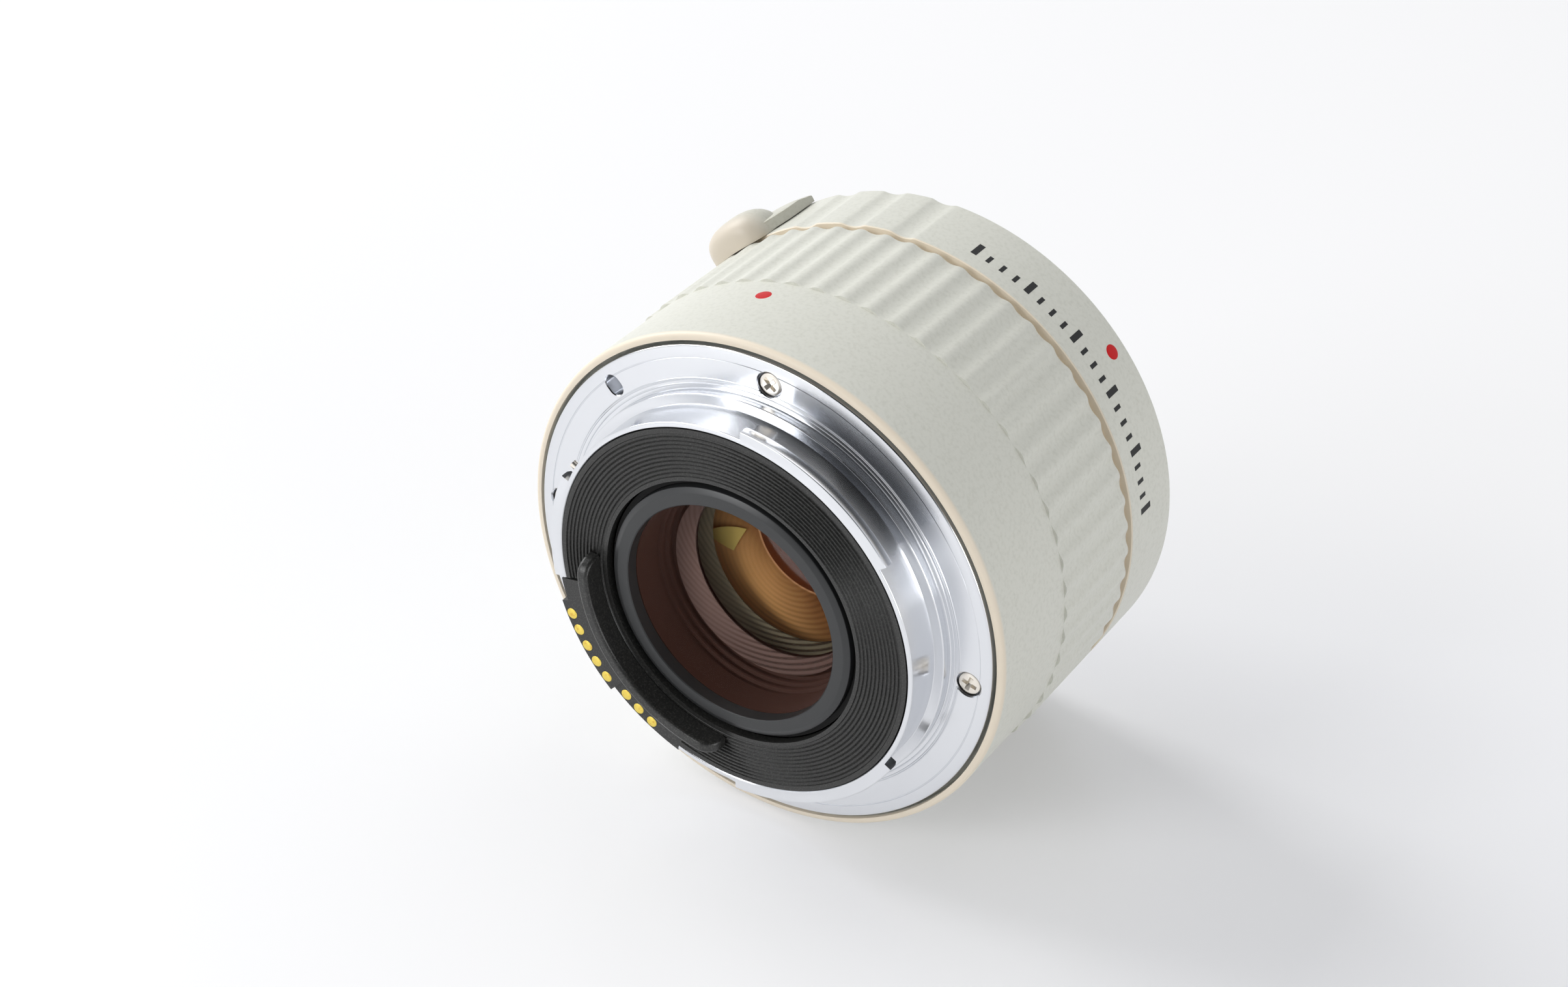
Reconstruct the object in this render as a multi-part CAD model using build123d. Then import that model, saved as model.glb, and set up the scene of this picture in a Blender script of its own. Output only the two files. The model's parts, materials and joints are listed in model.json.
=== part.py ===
"""A two-times teleconverter that fits between a camera body and its lens.

It lies on its side. The optical axis is the Y axis and +Z is up. The seat that
meets the camera is at y = 0 and faces -Y; the seat that takes the lens faces +Y.
Angles are counted about the axis from +X towards +Z, so they run anticlockwise
to someone who looks at the camera side.
"""
from build123d import *
import math
import os

# Driving dimensions, in millimetres and degrees.

# Bayonet: the sizes that both mounts share.
seat_width = 5.5
register_radius = 27.0
register_clearance = 0.05
register_depth = 1.4
boss_step = 1.4
boss_height = 6.2
lug_step = 0.4
lug_thickness = 1.6
seat_distance = 42.1
lock_angle = 133.3
lock_pin_inset = 2.6
screw_inset = 3.0
screw_first_angle = -3.5
screw_count = 4
lock_twist = 60.1

# Fits between neighbours.
sliding_gap = 0.15
close_gap = 0.1
running_gap = 0.08
overrun = 1.0

# Barrel shells.
shell_wall = 2.4
rib_height = 0.38
rib_count = 60
rib_first_angle = 2.0
rib_crest_share = 0.4
ring_pocket_room = 0.5
rear_rim = 0.2
rear_rim_round = 0.7
rib_length = 15.7
front_shell_length = 10.2
shell_gap = 0.95
front_rim_drop = 0.6
front_rim_round = 0.15
spigot_wall = 1.2
spigot_length = 2.8
spigot_room = 0.2
groove_angles = (89.5, 101.5, 113.5)
groove_width = 3.3
groove_depth = 0.38

# Index marks set in the shells.
mark_radius = 1.0
mark_depth = 0.8
mark_fit = 0.05
mark_sink = 0.1
mark_round = 0.35
rear_mark_angle = 101.0
rear_mark_place = 11.2
front_mark_angle = rear_mark_angle - lock_twist
front_mark_inset = 2.75

# Camera-side bayonet ring.
rear_ring_thickness = 2.2
boss_wall = 0.7
register_chamfer = 0.15
seat_groove_insets = (1.5, 4.4, 4.95)
seat_groove_width = 0.12
seat_groove_depth = 0.12
rear_lugs = ((35.6, 85.6), (-88.4, -30.0), (155.9, 189.9))
lock_slot_width = 1.9
lock_slot_length = 2.4
stop_pin_angle = 152.4
stop_pin_radius = 0.5
stop_pin_reach = 0.9
stop_pin_inset = 1.3
ring_edge_round = 0.25

# Machine screws that hold both rings.
screw_head_radius = 1.45
screw_head_height = 0.75
screw_head_round = 0.3
small_head_round_share = 0.33
screw_head_room = 0.2
screw_head_sink = 0.15
screw_shank_radius = 0.8
screw_grip_length = 2.4
recess_width = 0.34
recess_length = 1.5
recess_depth = 0.45

# Shims between the frame and the rings.
shim_thickness = 0.2
shim_width_share = 0.8

# Inner frame.
frame_inset = 0.7
frame_wall = 2.8
rear_flange_thickness = 3.0
rear_flange_lip = 1.4
front_flange_thickness = 2.6
front_flange_room = 0.6
web_inset = 23.5
web_thickness = 3.0
ledge_thickness = 1.2
ledge_width = 2.5

# Camera-side baffle with its light-trap ridges.
baffle_thickness = 1.0
baffle_skirt = 0.8
ridge_inset = 0.45
ridge_rim = 0.68
ridge_count = 11
ridge_depth = 0.2

# Camera-side contact block, its guard and its pads.
block_angles = (-169.4, -108.6)
pad_rim = 0.85
block_step_angle = -133.3
block_shoulder_angle = -162.0
block_step = 0.7
block_tail_reach = 0.6
guard_room = 1.2
guard_thickness = 1.6
guard_height = 2.9
guard_angles = (-183.5, -92.0)
guard_round = 2.3
guard_edge_round = 0.45
pad_inset = 1.25
pad_radius = 0.75
pad_thickness = 0.5
pad_proud = 0.05
pad_pitch_angle = 5.2
pad_angles_first = (-157.8, 5)
pad_angles_second = (-129.5, 3)
pad_room = 0.02

# Lens cell and what it holds.
cell_inset = 7.1
cell_rear_drop = 1.2
cell_step = 2.4
cell_shoulder = 3.4
cell_collar_width = 2.6
cell_collar_thickness = 2.0
cell_front_room = 0.4
cell_rear_wall = 2.2
cell_front_wall = 2.6
stop_width = 3.0
stop_depth = 20.8
stop_thickness = 2.0
retainer_wall = 0.75
retainer_width = 2.3
retainer_rise = 0.1
retainer_thickness = 1.7
retainer_chamfer = 0.75
retainer_chamfer_drop = 0.35
glass_flat = 0.8
rear_glass_thickness = 3.6
rear_glass_sags = (-1.4, 1.0)
middle_glass_thickness = 3.2
middle_glass_sags = (1.3, -1.1)
doublet_split = 3.0
doublet_thickness = 6.6
doublet_sags = (-1.6, 2.4, 1.2)
front_glass_thickness = 4.2
front_glass_sags = (-1.8, 1.6)
front_retainer_thickness = 2.2
spacer_wall = 0.9
spacer_step = 0.6
front_spacer_wall = 1.6
cell_rib_pitch = 0.6
cell_rib_depth = 0.3
cell_screw_count = 3
cell_screw_inset = 1.3
cell_screw_first_angle = 20.0

# Lens-side bayonet ring.
front_ring_thickness = 2.4
female_lug_reach = 1.25
female_lug_depth = 1.5
throat_relief = 0.3
female_lug_thickness = 1.5
female_lug_angle = 53.0
leaf_thickness = 0.25
leaf_room = 0.2
leaf_length = 20.0
leaf_bow = 0.8

# Lens-side baffle.
front_baffle_depth = 8.9
front_baffle_step = 1.2
front_baffle_thickness = 1.0
front_baffle_skirt = 0.45

# Lens-side contact block, with eight sprung pins.
pin_block_angles = (-171.0, -107.0)
pin_block_inner_wall = 1.85
pin_block_outer_wall = 1.2
pin_block_foot = 1.2
pin_block_face_depth = 6.5
pin_block_height = 4.2
pin_lip = 0.7
pin_radius = 0.55
pin_round_share = 0.9
pin_collar_radius = 0.85
pin_collar_height = 0.6
pin_bore_radius = 0.95
pin_tip_depth = 5.2
pin_travel = 1.0
pin_spring_radii = (0.8, 0.6)
board_thickness = 0.6

# Lock, its carrier, its spring and the release lever.
lock_pin_radius = 1.05
lock_pin_tip_radius = 0.95
lock_pin_tip_start = 0.05
lock_pin_reach = 1.6
lock_pin_round = 0.3
lock_travel = 2.0
carrier_walls = (1.5, 1.3)
carrier_half_width = 3.5
carrier_length = 8.8
carrier_room = 0.3
carrier_pin_hold = 5.6
guide_rod_radius = 0.8
guide_rod_reach = 10.6
window_reach = 7.8
spring_outer_radius = 1.35
spring_wire = 0.36
spring_turns = 7
spring_end_gap = 0.05
foot_inset = 0.1
foot_length = 2.5
foot_half_width = 3.3
slot_margin = 0.2
lever_half_angle = 10.25
lever_arm_rear_inset = 0.2
lever_arm_front_inset = 0.3
lever_arm_rise = 1.6
lever_nose_rise = 1.1
lever_arm_nose_length = 1.2
lever_edge_round = 0.3
lever_gap = 0.15
knob_overhang = 1.9
knob_front_inset = 3.5
knob_half_width = 5.2
knob_rise = 3.85
knob_corner = 3.2
knob_round = 1.9
knob_gap = 0.3
lever_screw_radius = 0.6
lever_screw_head_radius = 1.0
lever_screw_head_height = 0.7
lever_screw_place = 2.3
lever_screw_reach = 1.8

# Control board, its chip and the flexible circuit.
control_angles = (-155.0, 60.0)
control_room = 0.3
control_width = 4.35
control_thickness = 1.0
chip_size = 3.6
chip_length = 6.0
chip_height = 1.2
chip_angle = -60.0
control_screw_angles = (-100.0, -20.0, 45.0)
small_screw_head_radius = 1.0
small_screw_head_height = 0.6
small_screw_shank_radius = 0.55
small_screw_length = 2.4
flex_inset = 0.25
flex_thickness = 0.15
flex_angles = (-150.0, -128.0)
flex_room = 0.25

# Places that follow from the dimensions above.
seat_radius = register_radius + seat_width
boss_radius = register_radius - boss_step
lug_radius = register_radius - lug_step
lock_pin_place_radius = seat_radius - lock_pin_inset
screw_place_radius = seat_radius - screw_inset
ring_pocket_radius = seat_radius + ring_pocket_room
seat_groove_radii = [seat_radius - inset for inset in seat_groove_insets]
frame_radius = seat_radius - frame_inset
barrel_bore = frame_radius + close_gap
front_radius = barrel_bore + shell_wall
crest_radius = front_radius
rear_radius = crest_radius - rib_height
spigot_radius = barrel_bore + spigot_wall
frame_start = rear_ring_thickness + shim_thickness
front_ring_start = seat_distance - front_ring_thickness
frame_end = front_ring_start - shim_thickness
frame_bore = frame_radius - frame_wall
boss_bore = boss_radius - boss_wall
rear_flange_bore = boss_bore - rear_flange_lip
front_flange_bore = register_radius + front_flange_room
ledge_bore = frame_bore - ledge_width
pad_place_radius = register_radius - pad_inset
cell_rear_radius = boss_bore - cell_inset
cell_radius = cell_rear_radius + cell_step
cell_collar_radius = cell_radius + cell_collar_width
cell_screw_place_radius = cell_radius + cell_screw_inset
cell_rear_bore = cell_rear_radius - cell_rear_wall
cell_front_bore = cell_radius - cell_front_wall
stop_bore = cell_rear_bore - stop_width
spacer_bore_rear = cell_rear_bore - spacer_wall
spacer_bore_front = stop_bore + spacer_step
front_spacer_bore = cell_front_bore - front_spacer_wall
retainer_radius = cell_rear_radius - retainer_wall
retainer_bore = retainer_radius - retainer_width
baffle_radius = boss_bore - close_gap
baffle_bore = cell_rear_radius + sliding_gap
ridge_first_radius = baffle_bore + ridge_inset
ridge_pitch = (baffle_radius - ridge_rim - ridge_first_radius) / ridge_count
guard_radius = cell_rear_radius + guard_room
block_inner_radius = guard_radius + guard_thickness
block_outer_radius = pad_place_radius + pad_rim
female_lug_radius = register_radius - female_lug_reach
leaf_radii = (female_lug_radius + leaf_room, register_radius + leaf_room)
front_baffle_radius = front_flange_bore - sliding_gap
front_baffle_bore = cell_radius - front_baffle_step
pin_block_inner_radius = pad_place_radius - pin_block_inner_wall
pin_block_outer_radius = pad_place_radius + pin_block_outer_wall
pin_block_foot_radius = frame_bore - close_gap
carrier_radii = (lock_pin_place_radius - carrier_walls[0], lock_pin_place_radius + carrier_walls[1])
control_outer = frame_bore - control_room
control_radii = (control_outer - control_width, control_outer)
flex_radius = control_radii[0] - flex_inset
lever_arm_top = front_radius + lever_arm_rise
lever_arm_nose = front_radius + lever_nose_rise
knob_top = front_radius + knob_rise
front_shell_end = seat_distance - front_rim_drop
front_shell_start = front_shell_end - front_shell_length
rib_end = front_shell_start - shell_gap
rib_start = rib_end - rib_length
front_mark_place = front_shell_end - front_mark_inset
web_end = frame_end - web_inset
web_start = web_end - web_thickness
stop_pin_place = boss_height - stop_pin_inset
cell_rear_end = boss_height - cell_rear_drop
retainer_face = boss_height + retainer_rise
block_tail_end = frame_start + rear_flange_thickness + block_tail_reach
carrier_end = frame_end - front_flange_thickness - carrier_room
carrier_start = carrier_end - carrier_length
guide_rod_end = carrier_start - guide_rod_reach
window_start = carrier_start - window_reach
foot_end = carrier_end - foot_inset
foot_start = foot_end - foot_length
lever_arm_start = front_shell_start + lever_arm_rear_inset
lever_arm_end = front_shell_end - lever_arm_front_inset
knob_start = front_shell_start - knob_overhang
knob_front = front_shell_end - knob_front_inset
boss_end = -boss_height
retainer_end = -retainer_face
retainer_seat = retainer_end + retainer_thickness
front_baffle_floor = seat_distance - front_baffle_depth
cell_front_end = front_baffle_floor - front_baffle_thickness - cell_front_room
stop_start = cell_front_end - stop_depth
pin_block_face = seat_distance - pin_block_face_depth
pin_block_start = pin_block_face - pin_block_height
ledge_end = front_baffle_floor - front_baffle_thickness
ledge_start = ledge_end - ledge_thickness
pad_angles = [pad_angles_first[0] + pad_pitch_angle * k for k in range(pad_angles_first[1])]
pad_angles += [pad_angles_second[0] + pad_pitch_angle * k for k in range(pad_angles_second[1])]
screw_angles = [screw_first_angle + 360 / screw_count * k for k in range(screw_count)]
lug_centres = [sum(lug) / 2 for lug in rear_lugs[:2]]
lug_centres.append(lug_centres[0] + 360 / len(rear_lugs))


def turn(shape, angle):
    """Turns a shape made at angle 0 to another angle about the optical axis."""
    return Rot(0, -angle, 0) * shape


def profile(points):
    """A flat face from points of radius and place along the axis."""
    return make_face(Polyline(*points, close=True))


def turned(points):
    """A body of revolution about the optical axis."""
    return revolve(profile(points), Axis.Y)


def sector(points, angles):
    """A part of a body of revolution, between two angles."""
    start, end = angles
    return turn(revolve(profile(points), Axis.Y, revolution_arc=end - start), end)


def box_points(inner, outer, start, end):
    """The corners of a plain rectangle in a profile."""
    return [(inner, start), (outer, start), (outer, end), (inner, end)]


def ring(inner, outer, start, end):
    """A plain ring about the optical axis."""
    return turned(box_points(inner, outer, start, end))


def disc(outer, start, end):
    """A plain disc about the optical axis."""
    return ring(0, outer, start, end)


def arc_block(inner, outer, start, end, angles):
    """A plain ring's sector."""
    return sector(box_points(inner, outer, start, end), angles)


def axial_rod(radius, start, end, place_radius, angle):
    """A rod parallel to the optical axis."""
    rod = Cylinder(radius, end - start, align=(Align.CENTER, Align.CENTER, Align.MIN))
    return turn(Pos(place_radius, start, 0) * Rot(-90, 0, 0) * rod, angle)


def radial_rod(radius, start, end, place, angle):
    """A rod that points away from the optical axis."""
    rod = Cylinder(radius, end - start, align=(Align.CENTER, Align.CENTER, Align.MIN))
    return turn(Pos(start, place, 0) * Rot(0, 90, 0) * rod, angle)


def cuboid(radii, places, half_width, angle):
    """A box with its faces square to the radius at one angle."""
    size = Box(radii[1] - radii[0], places[1] - places[0], half_width + half_width)
    return turn(Pos(sum(radii) / 2, sum(places) / 2, 0) * size, angle)


def screw(head_radius, head_height, shank_radius, length):
    """A pan-head screw with a cross recess: its head's top is at z = 0, its shank runs to -Z."""
    head = Cylinder(head_radius, head_height, align=(Align.CENTER, Align.CENTER, Align.MAX))
    edge_round = min(screw_head_round, head_height * small_head_round_share)
    head = fillet(head.edges().group_by(Axis.Z)[-1], edge_round)
    size_share = head_radius / screw_head_radius
    depth = recess_depth * size_share
    blade = Pos(0, 0, -depth / 2) * Box(recess_length * size_share, recess_width * size_share, depth)
    head -= blade + Rot(0, 0, 90) * blade
    shank = Cylinder(shank_radius, length, align=(Align.CENTER, Align.CENTER, Align.MAX))
    return head + Pos(0, 0, -head_height) * shank


def facing_back(part, place, place_radius, angle):
    """Sets a screw with its head towards the camera."""
    return turn(Pos(place_radius, place, 0) * Rot(90, 0, 0) * part, angle)


def facing_front(part, place, place_radius, angle):
    """Sets a screw with its head towards the lens."""
    return turn(Pos(place_radius, place, 0) * Rot(-90, 0, 0) * part, angle)


def join(shapes):
    """Fuses a list of shapes."""
    whole = shapes[0]
    for shape in shapes[1:]:
        whole = whole + shape
    return whole


def save(name, *solids):
    """Writes one node; identical pieces share it as separate solids."""
    shape = solids[0] if len(solids) == 1 else Compound(children=list(solids))
    export_step(shape, "parts/" + name + ".step")


def rib_outline(crest, height):
    """The ribbed shell's outline, in arcs that run into each other."""
    pitch = 360 / rib_count
    crest_half = pitch * rib_crest_share / 2
    mid = crest - height * rib_crest_share
    valley = crest - height

    def place(radius, angle):
        turned_angle = math.radians(angle)
        return Vector(radius * math.cos(turned_angle), 0, radius * math.sin(turned_angle))

    edges = []
    for number in range(rib_count):
        centre = rib_first_angle + pitch * number
        low, high = centre - crest_half, centre + crest_half
        edges.append(Edge.make_three_point_arc(place(mid, low), place(crest, centre), place(mid, high)))
        after = low + pitch
        dip = place(valley, centre + pitch / 2)
        edges.append(Edge.make_three_point_arc(place(mid, high), dip, place(mid, after)))
    return Face(Wire(edges))


def recess_for_mark(radius, place, angle):
    """The blind hole that an index mark sits in."""
    return radial_rod(mark_radius, radius - mark_depth, radius + overrun, place, angle)


def index_mark(radius, place, angle):
    """A red plastic dot, a little domed and sunk."""
    low = radius - mark_depth
    rod = radial_rod(mark_radius - mark_fit, low, radius - mark_sink, place, 0)
    rod = fillet(rod.edges().group_by(Axis.X)[-1], mark_round)
    return turn(rod, angle)


def main_barrel():
    """The long shell: smooth near the camera, ribbed where the fingers grip it."""
    start = rear_rim
    shell = ring(barrel_bore, rear_radius, start, rib_start)
    outer = shell.edges().filter_by(GeomType.CIRCLE).group_by(Axis.Y)[0]
    rim = outer.sort_by(lambda edge: edge.radius)[-1]
    shell = fillet([rim], rear_rim_round)
    ribs = extrude(rib_outline(crest_radius, rib_height), rib_end - rib_start, dir=(0, 1, 0))
    ribs = Pos(0, rib_start, 0) * ribs
    ribs -= disc(barrel_bore, rib_start - overrun, rib_end + overrun)
    shell += ribs
    shell -= ring(0, ring_pocket_radius, start - overrun, rear_ring_thickness)
    room = spigot_radius + close_gap
    shell -= disc(room, rib_end - spigot_length + shell_gap - spigot_room, rib_end + overrun)
    return shell - recess_for_mark(rear_radius, rear_mark_place, rear_mark_angle)


def groove(angle):
    """A shallow finger groove along the front shell."""
    bend = (groove_width ** 2 / 4 + groove_depth ** 2) / (groove_depth + groove_depth)
    place = front_radius - groove_depth + bend
    return axial_rod(bend, front_shell_start - overrun, front_shell_end + overrun, place, angle)


def lever_slot():
    """The slot in the front shell that the lever's foot slides in."""
    start = foot_start - lock_travel - slot_margin
    radii = (barrel_bore - overrun, front_radius + overrun)
    return cuboid(radii, (start, foot_end + slot_margin), foot_half_width + slot_margin, lock_angle)


def front_barrel():
    """The short shell that carries the lever and the lens's index mark."""
    shell = turned([
        (barrel_bore, front_shell_start - spigot_length),
        (spigot_radius, front_shell_start - spigot_length),
        (spigot_radius, front_shell_start),
        (front_radius, front_shell_start),
        (front_radius, front_shell_end - front_rim_round),
        (front_radius - front_rim_round, front_shell_end),
        (ring_pocket_radius, front_shell_end),
        (ring_pocket_radius, front_ring_start),
        (barrel_bore, front_ring_start),
    ])
    for angle in groove_angles:
        shell -= groove(angle)
    shell -= lever_slot()
    return shell - recess_for_mark(front_radius, front_mark_place, front_mark_angle)


def ring_screw_holes(start, end, shank_room):
    """Clearance holes for the screws of one ring."""
    return join([axial_rod(screw_shank_radius + shank_room, start, end, screw_place_radius, angle)
                 for angle in screw_angles])


def lock_slot():
    """The slot in the camera-side seat that takes the camera's lock pin."""
    half = lock_slot_width / 2
    spread = (lock_slot_length - lock_slot_width) / 2
    low, high = lock_pin_place_radius - spread, lock_pin_place_radius + spread
    ends = [axial_rod(half, -overrun, rear_ring_thickness + overrun, radius, lock_angle)
            for radius in (low, high)]
    middle = cuboid((low, high), (-overrun, rear_ring_thickness + overrun), half, lock_angle)
    return ends[0] + ends[1] + middle


def rear_mount_ring():
    """The camera-side bayonet: a seat, a register, a boss and three lugs in one turning."""
    register = register_radius - register_clearance
    body = turned([
        (boss_bore, boss_end),
        (boss_radius, boss_end),
        (boss_radius, -register_depth),
        (register - register_chamfer, -register_depth),
        (register, -register_depth + register_chamfer),
        (register, 0),
        (seat_radius - ring_edge_round, 0),
        (seat_radius, ring_edge_round),
        (seat_radius, rear_ring_thickness),
        (boss_bore, rear_ring_thickness),
    ])
    for radius in seat_groove_radii:
        body -= ring(radius, radius + seat_groove_width, -seat_groove_depth, seat_groove_depth)
    for lug in rear_lugs:
        body += arc_block(boss_bore, lug_radius, boss_end, boss_end + lug_thickness, lug)
    for angle in screw_angles:
        body -= axial_rod(screw_head_radius + screw_head_room, -overrun,
                          screw_head_height + screw_head_sink, screw_place_radius, angle)
    body -= ring_screw_holes(-overrun, rear_ring_thickness + overrun, close_gap)
    body -= lock_slot()
    room = block_room()
    body -= arc_block(block_inner_radius, register_radius,
                      boss_end - overrun, -register_depth - close_gap, room)
    tail = block_outer_tail_radius() + close_gap
    body -= arc_block(boss_bore - overrun, tail,
                      boss_end - overrun, rear_ring_thickness + overrun, room)
    return body - radial_rod(stop_pin_radius, boss_bore, boss_radius + overrun,
                             -stop_pin_place, stop_pin_angle)


def block_room():
    """The contact block's span with a little room at both ends."""
    start, end = block_angles
    room = math.degrees(close_gap / boss_bore)
    return start - room, end + room


def block_outer_tail_radius():
    """The outer radius of the contact block's tail, inside the boss."""
    return boss_bore - close_gap


def bayonet_stop_pin():
    """The small pin beside a lug that ends the twist."""
    return radial_rod(stop_pin_radius, boss_bore, boss_radius + stop_pin_reach,
                      -stop_pin_place, stop_pin_angle)


def ring_screws(face, towards):
    """The four screws of one ring, with their heads sunk under its seat."""
    part = screw(screw_head_radius, screw_head_height, screw_shank_radius, screw_grip_length)
    return [towards(part, face, screw_place_radius, angle) for angle in screw_angles]


def shim(start, bore):
    """A thin spacer that sets the distance between the seats."""
    width = (frame_radius - bore) * shim_width_share
    body = ring(frame_radius - width, frame_radius, start, start + shim_thickness)
    low, high = start - overrun, start + shim_thickness + overrun
    body -= ring_screw_holes(low, high, close_gap)
    return body - axial_rod(lock_pin_radius + sliding_gap, low, high, lock_pin_place_radius, lock_angle)


def inner_frame():
    """The metal tube that ties both rings together and carries the lens cell."""
    body = turned([
        (rear_flange_bore, frame_start),
        (frame_radius, frame_start),
        (frame_radius, frame_end),
        (front_flange_bore, frame_end),
        (front_flange_bore, frame_end - front_flange_thickness),
        (frame_bore, frame_end - front_flange_thickness),
        (frame_bore, ledge_end),
        (ledge_bore, ledge_end),
        (ledge_bore, ledge_start),
        (frame_bore, ledge_start),
        (frame_bore, web_end),
        (cell_radius + close_gap, web_end),
        (cell_radius + close_gap, web_start),
        (frame_bore, web_start),
        (frame_bore, frame_start + rear_flange_thickness),
        (rear_flange_bore, frame_start + rear_flange_thickness),
    ])
    body -= ring_screw_holes(frame_start - overrun, frame_start + rear_flange_thickness + overrun, 0)
    body -= ring_screw_holes(frame_end - front_flange_thickness - overrun, frame_end + overrun, 0)
    tail = block_outer_tail_radius() + close_gap
    body -= arc_block(rear_flange_bore - overrun, tail, frame_start - overrun,
                      frame_start + rear_flange_thickness + overrun, block_room())
    body -= arc_block(flex_radius - flex_room, flex_radius + flex_thickness + flex_room,
                      web_start - overrun, web_end + overrun, widen(flex_angles, flex_room, flex_radius))
    body -= arc_block(ledge_bore - overrun, frame_bore, ledge_start - overrun, ledge_end + overrun,
                      widen(pin_block_angles, close_gap, ledge_bore))
    body -= window()
    body -= axial_rod(guide_rod_radius + running_gap, guide_rod_end - lock_travel - slot_margin,
                      window_start + overrun, lock_pin_place_radius, lock_angle)
    body -= axial_rod(lock_pin_radius + running_gap, frame_end - front_flange_thickness - overrun,
                      frame_end + overrun, lock_pin_place_radius, lock_angle)
    screw_places = [(cell_screw_place_radius, angle) for angle in cell_screw_angles()]
    screw_places += [(control_screw_radius(), angle) for angle in control_screw_angles]
    for place_radius, angle in screw_places:
        body -= axial_rod(small_screw_shank_radius, web_start, web_end + overrun, place_radius, angle)
    return body


def widen(angles, gap, radius):
    """Two angles moved apart by a gap that is measured at a radius."""
    spread = math.degrees(gap / radius)
    return angles[0] - spread, angles[1] + spread


def window():
    """The opening in the frame that the lock's carrier slides in."""
    radii = (frame_bore - overrun, frame_radius + overrun)
    end = frame_end - front_flange_thickness
    return cuboid(radii, (window_start, end), carrier_half_width + slot_margin, lock_angle)


def cell_screw_angles():
    """Where the lens cell's screws stand."""
    return [cell_screw_first_angle + 360 / cell_screw_count * k for k in range(cell_screw_count)]


def control_screw_radius():
    """Where the control board's screws stand."""
    return sum(control_radii) / 2


def rear_baffle():
    """The black plate round the rear glass, with rings that trap stray light."""
    points = [(baffle_bore, boss_end + baffle_thickness), (baffle_bore, boss_end)]
    for number in range(ridge_count):
        radius = ridge_first_radius + ridge_pitch * number
        points.append((radius, boss_end))
        points.append((radius + ridge_pitch / 2, boss_end + ridge_depth))
    points.append((ridge_first_radius + ridge_pitch * ridge_count, boss_end))
    points.append((baffle_radius, boss_end))
    points.append((baffle_radius, frame_start))
    points.append((baffle_radius - baffle_skirt, frame_start))
    points.append((baffle_radius - baffle_skirt, boss_end + baffle_thickness))
    body = turned(points)
    cut_radius = guard_radius + guard_thickness - close_gap
    return body - arc_block(cut_radius, baffle_radius + overrun, boss_end - overrun,
                            frame_start + overrun, widen(block_angles, close_gap, baffle_radius))


def rear_contact_block():
    """The black moulding that holds the gold pads behind a curved guard."""
    inner = block_inner_radius
    start, end = block_angles
    face = boss_end
    root_end = -register_depth - close_gap - close_gap
    high = arc_block(inner, block_outer_radius, face, root_end, (block_shoulder_angle, block_step_angle))
    high += arc_block(inner, boss_radius, face, root_end, (start, block_shoulder_angle))
    low = arc_block(inner, block_outer_radius, face + block_step, root_end, (block_step_angle, end))
    tail = arc_block(inner, block_outer_tail_radius(), face + block_step, block_tail_end, block_angles)
    under = boss_end - pad_proud
    outer = guard_radius + guard_thickness
    guard = arc_block(guard_radius, outer, boss_end - guard_height, under, guard_angles)
    tops = guard.edges().group_by(Axis.Y)[0]
    ends = tops.filter_by(GeomType.LINE)
    guard = fillet(ends, guard_round)
    crest = guard.edges().group_by(Axis.Y)[0].filter_by(GeomType.CIRCLE)
    guard = fillet(crest, guard_edge_round)
    root = arc_block(outer - close_gap, inner + close_gap, under, face + block_step, block_angles)
    neck = arc_block(outer - guard_edge_round, inner + close_gap, under - guard_edge_round, under,
                     block_angles)
    body = high + low + tail + root + neck + guard
    for angle in pad_angles:
        face_here = pad_face(angle)
        body -= axial_rod(pad_radius + pad_room, face_here - overrun, face_here + pad_thickness,
                          pad_place_radius, angle)
    return body


def pad_face(angle):
    """The height of the contact block's face at one pad."""
    return boss_end if angle < block_step_angle else boss_end + block_step


def rear_contact_pads():
    """The gold pads that meet the camera's pins."""
    return [axial_rod(pad_radius, pad_face(angle) - pad_proud, pad_face(angle) + pad_thickness,
                      pad_place_radius, angle) for angle in pad_angles]


def sag_arc(radius, rim, vertex):
    """One glass face in a profile, from its rim to the optical axis, as an arc centred on the axis."""
    depth = rim - vertex
    bend = (radius ** 2 + depth ** 2) / (depth + depth)
    middle = radius / 2
    drop = bend - math.copysign(math.sqrt(bend ** 2 - middle ** 2), bend)
    return ThreePointArc((0, vertex), (middle, vertex + drop), (radius, rim))


def glass(radius, start, end, sags, flat=glass_flat):
    """A lens element with a flat seat round each face."""
    bright = radius - flat
    rear_vertex = start - sags[0]
    front_vertex = end + sags[1]
    rear = sag_arc(bright, start, rear_vertex)
    front = sag_arc(bright, end, front_vertex)
    rim = Polyline((bright, start), (radius, start), (radius, end), (bright, end))
    axis_line = Line((0, rear_vertex), (0, front_vertex))
    return revolve(make_face(rear + rim + front + axis_line), Axis.Y)


def cell_outline():
    """The profile of the lens cell."""
    collar_end = web_end + cell_collar_thickness
    return [
        (cell_rear_bore, -cell_rear_end),
        (cell_rear_radius, -cell_rear_end),
        (cell_rear_radius, cell_shoulder),
        (cell_radius, cell_shoulder),
        (cell_radius, web_end),
        (cell_collar_radius, web_end),
        (cell_collar_radius, collar_end),
        (cell_radius, collar_end),
        (cell_radius, cell_front_end),
        (cell_front_bore, cell_front_end),
        (cell_front_bore, stop_start + stop_thickness),
        (stop_bore, stop_start + stop_thickness),
        (stop_bore, stop_start),
        (cell_rear_bore, stop_start),
    ]


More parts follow.
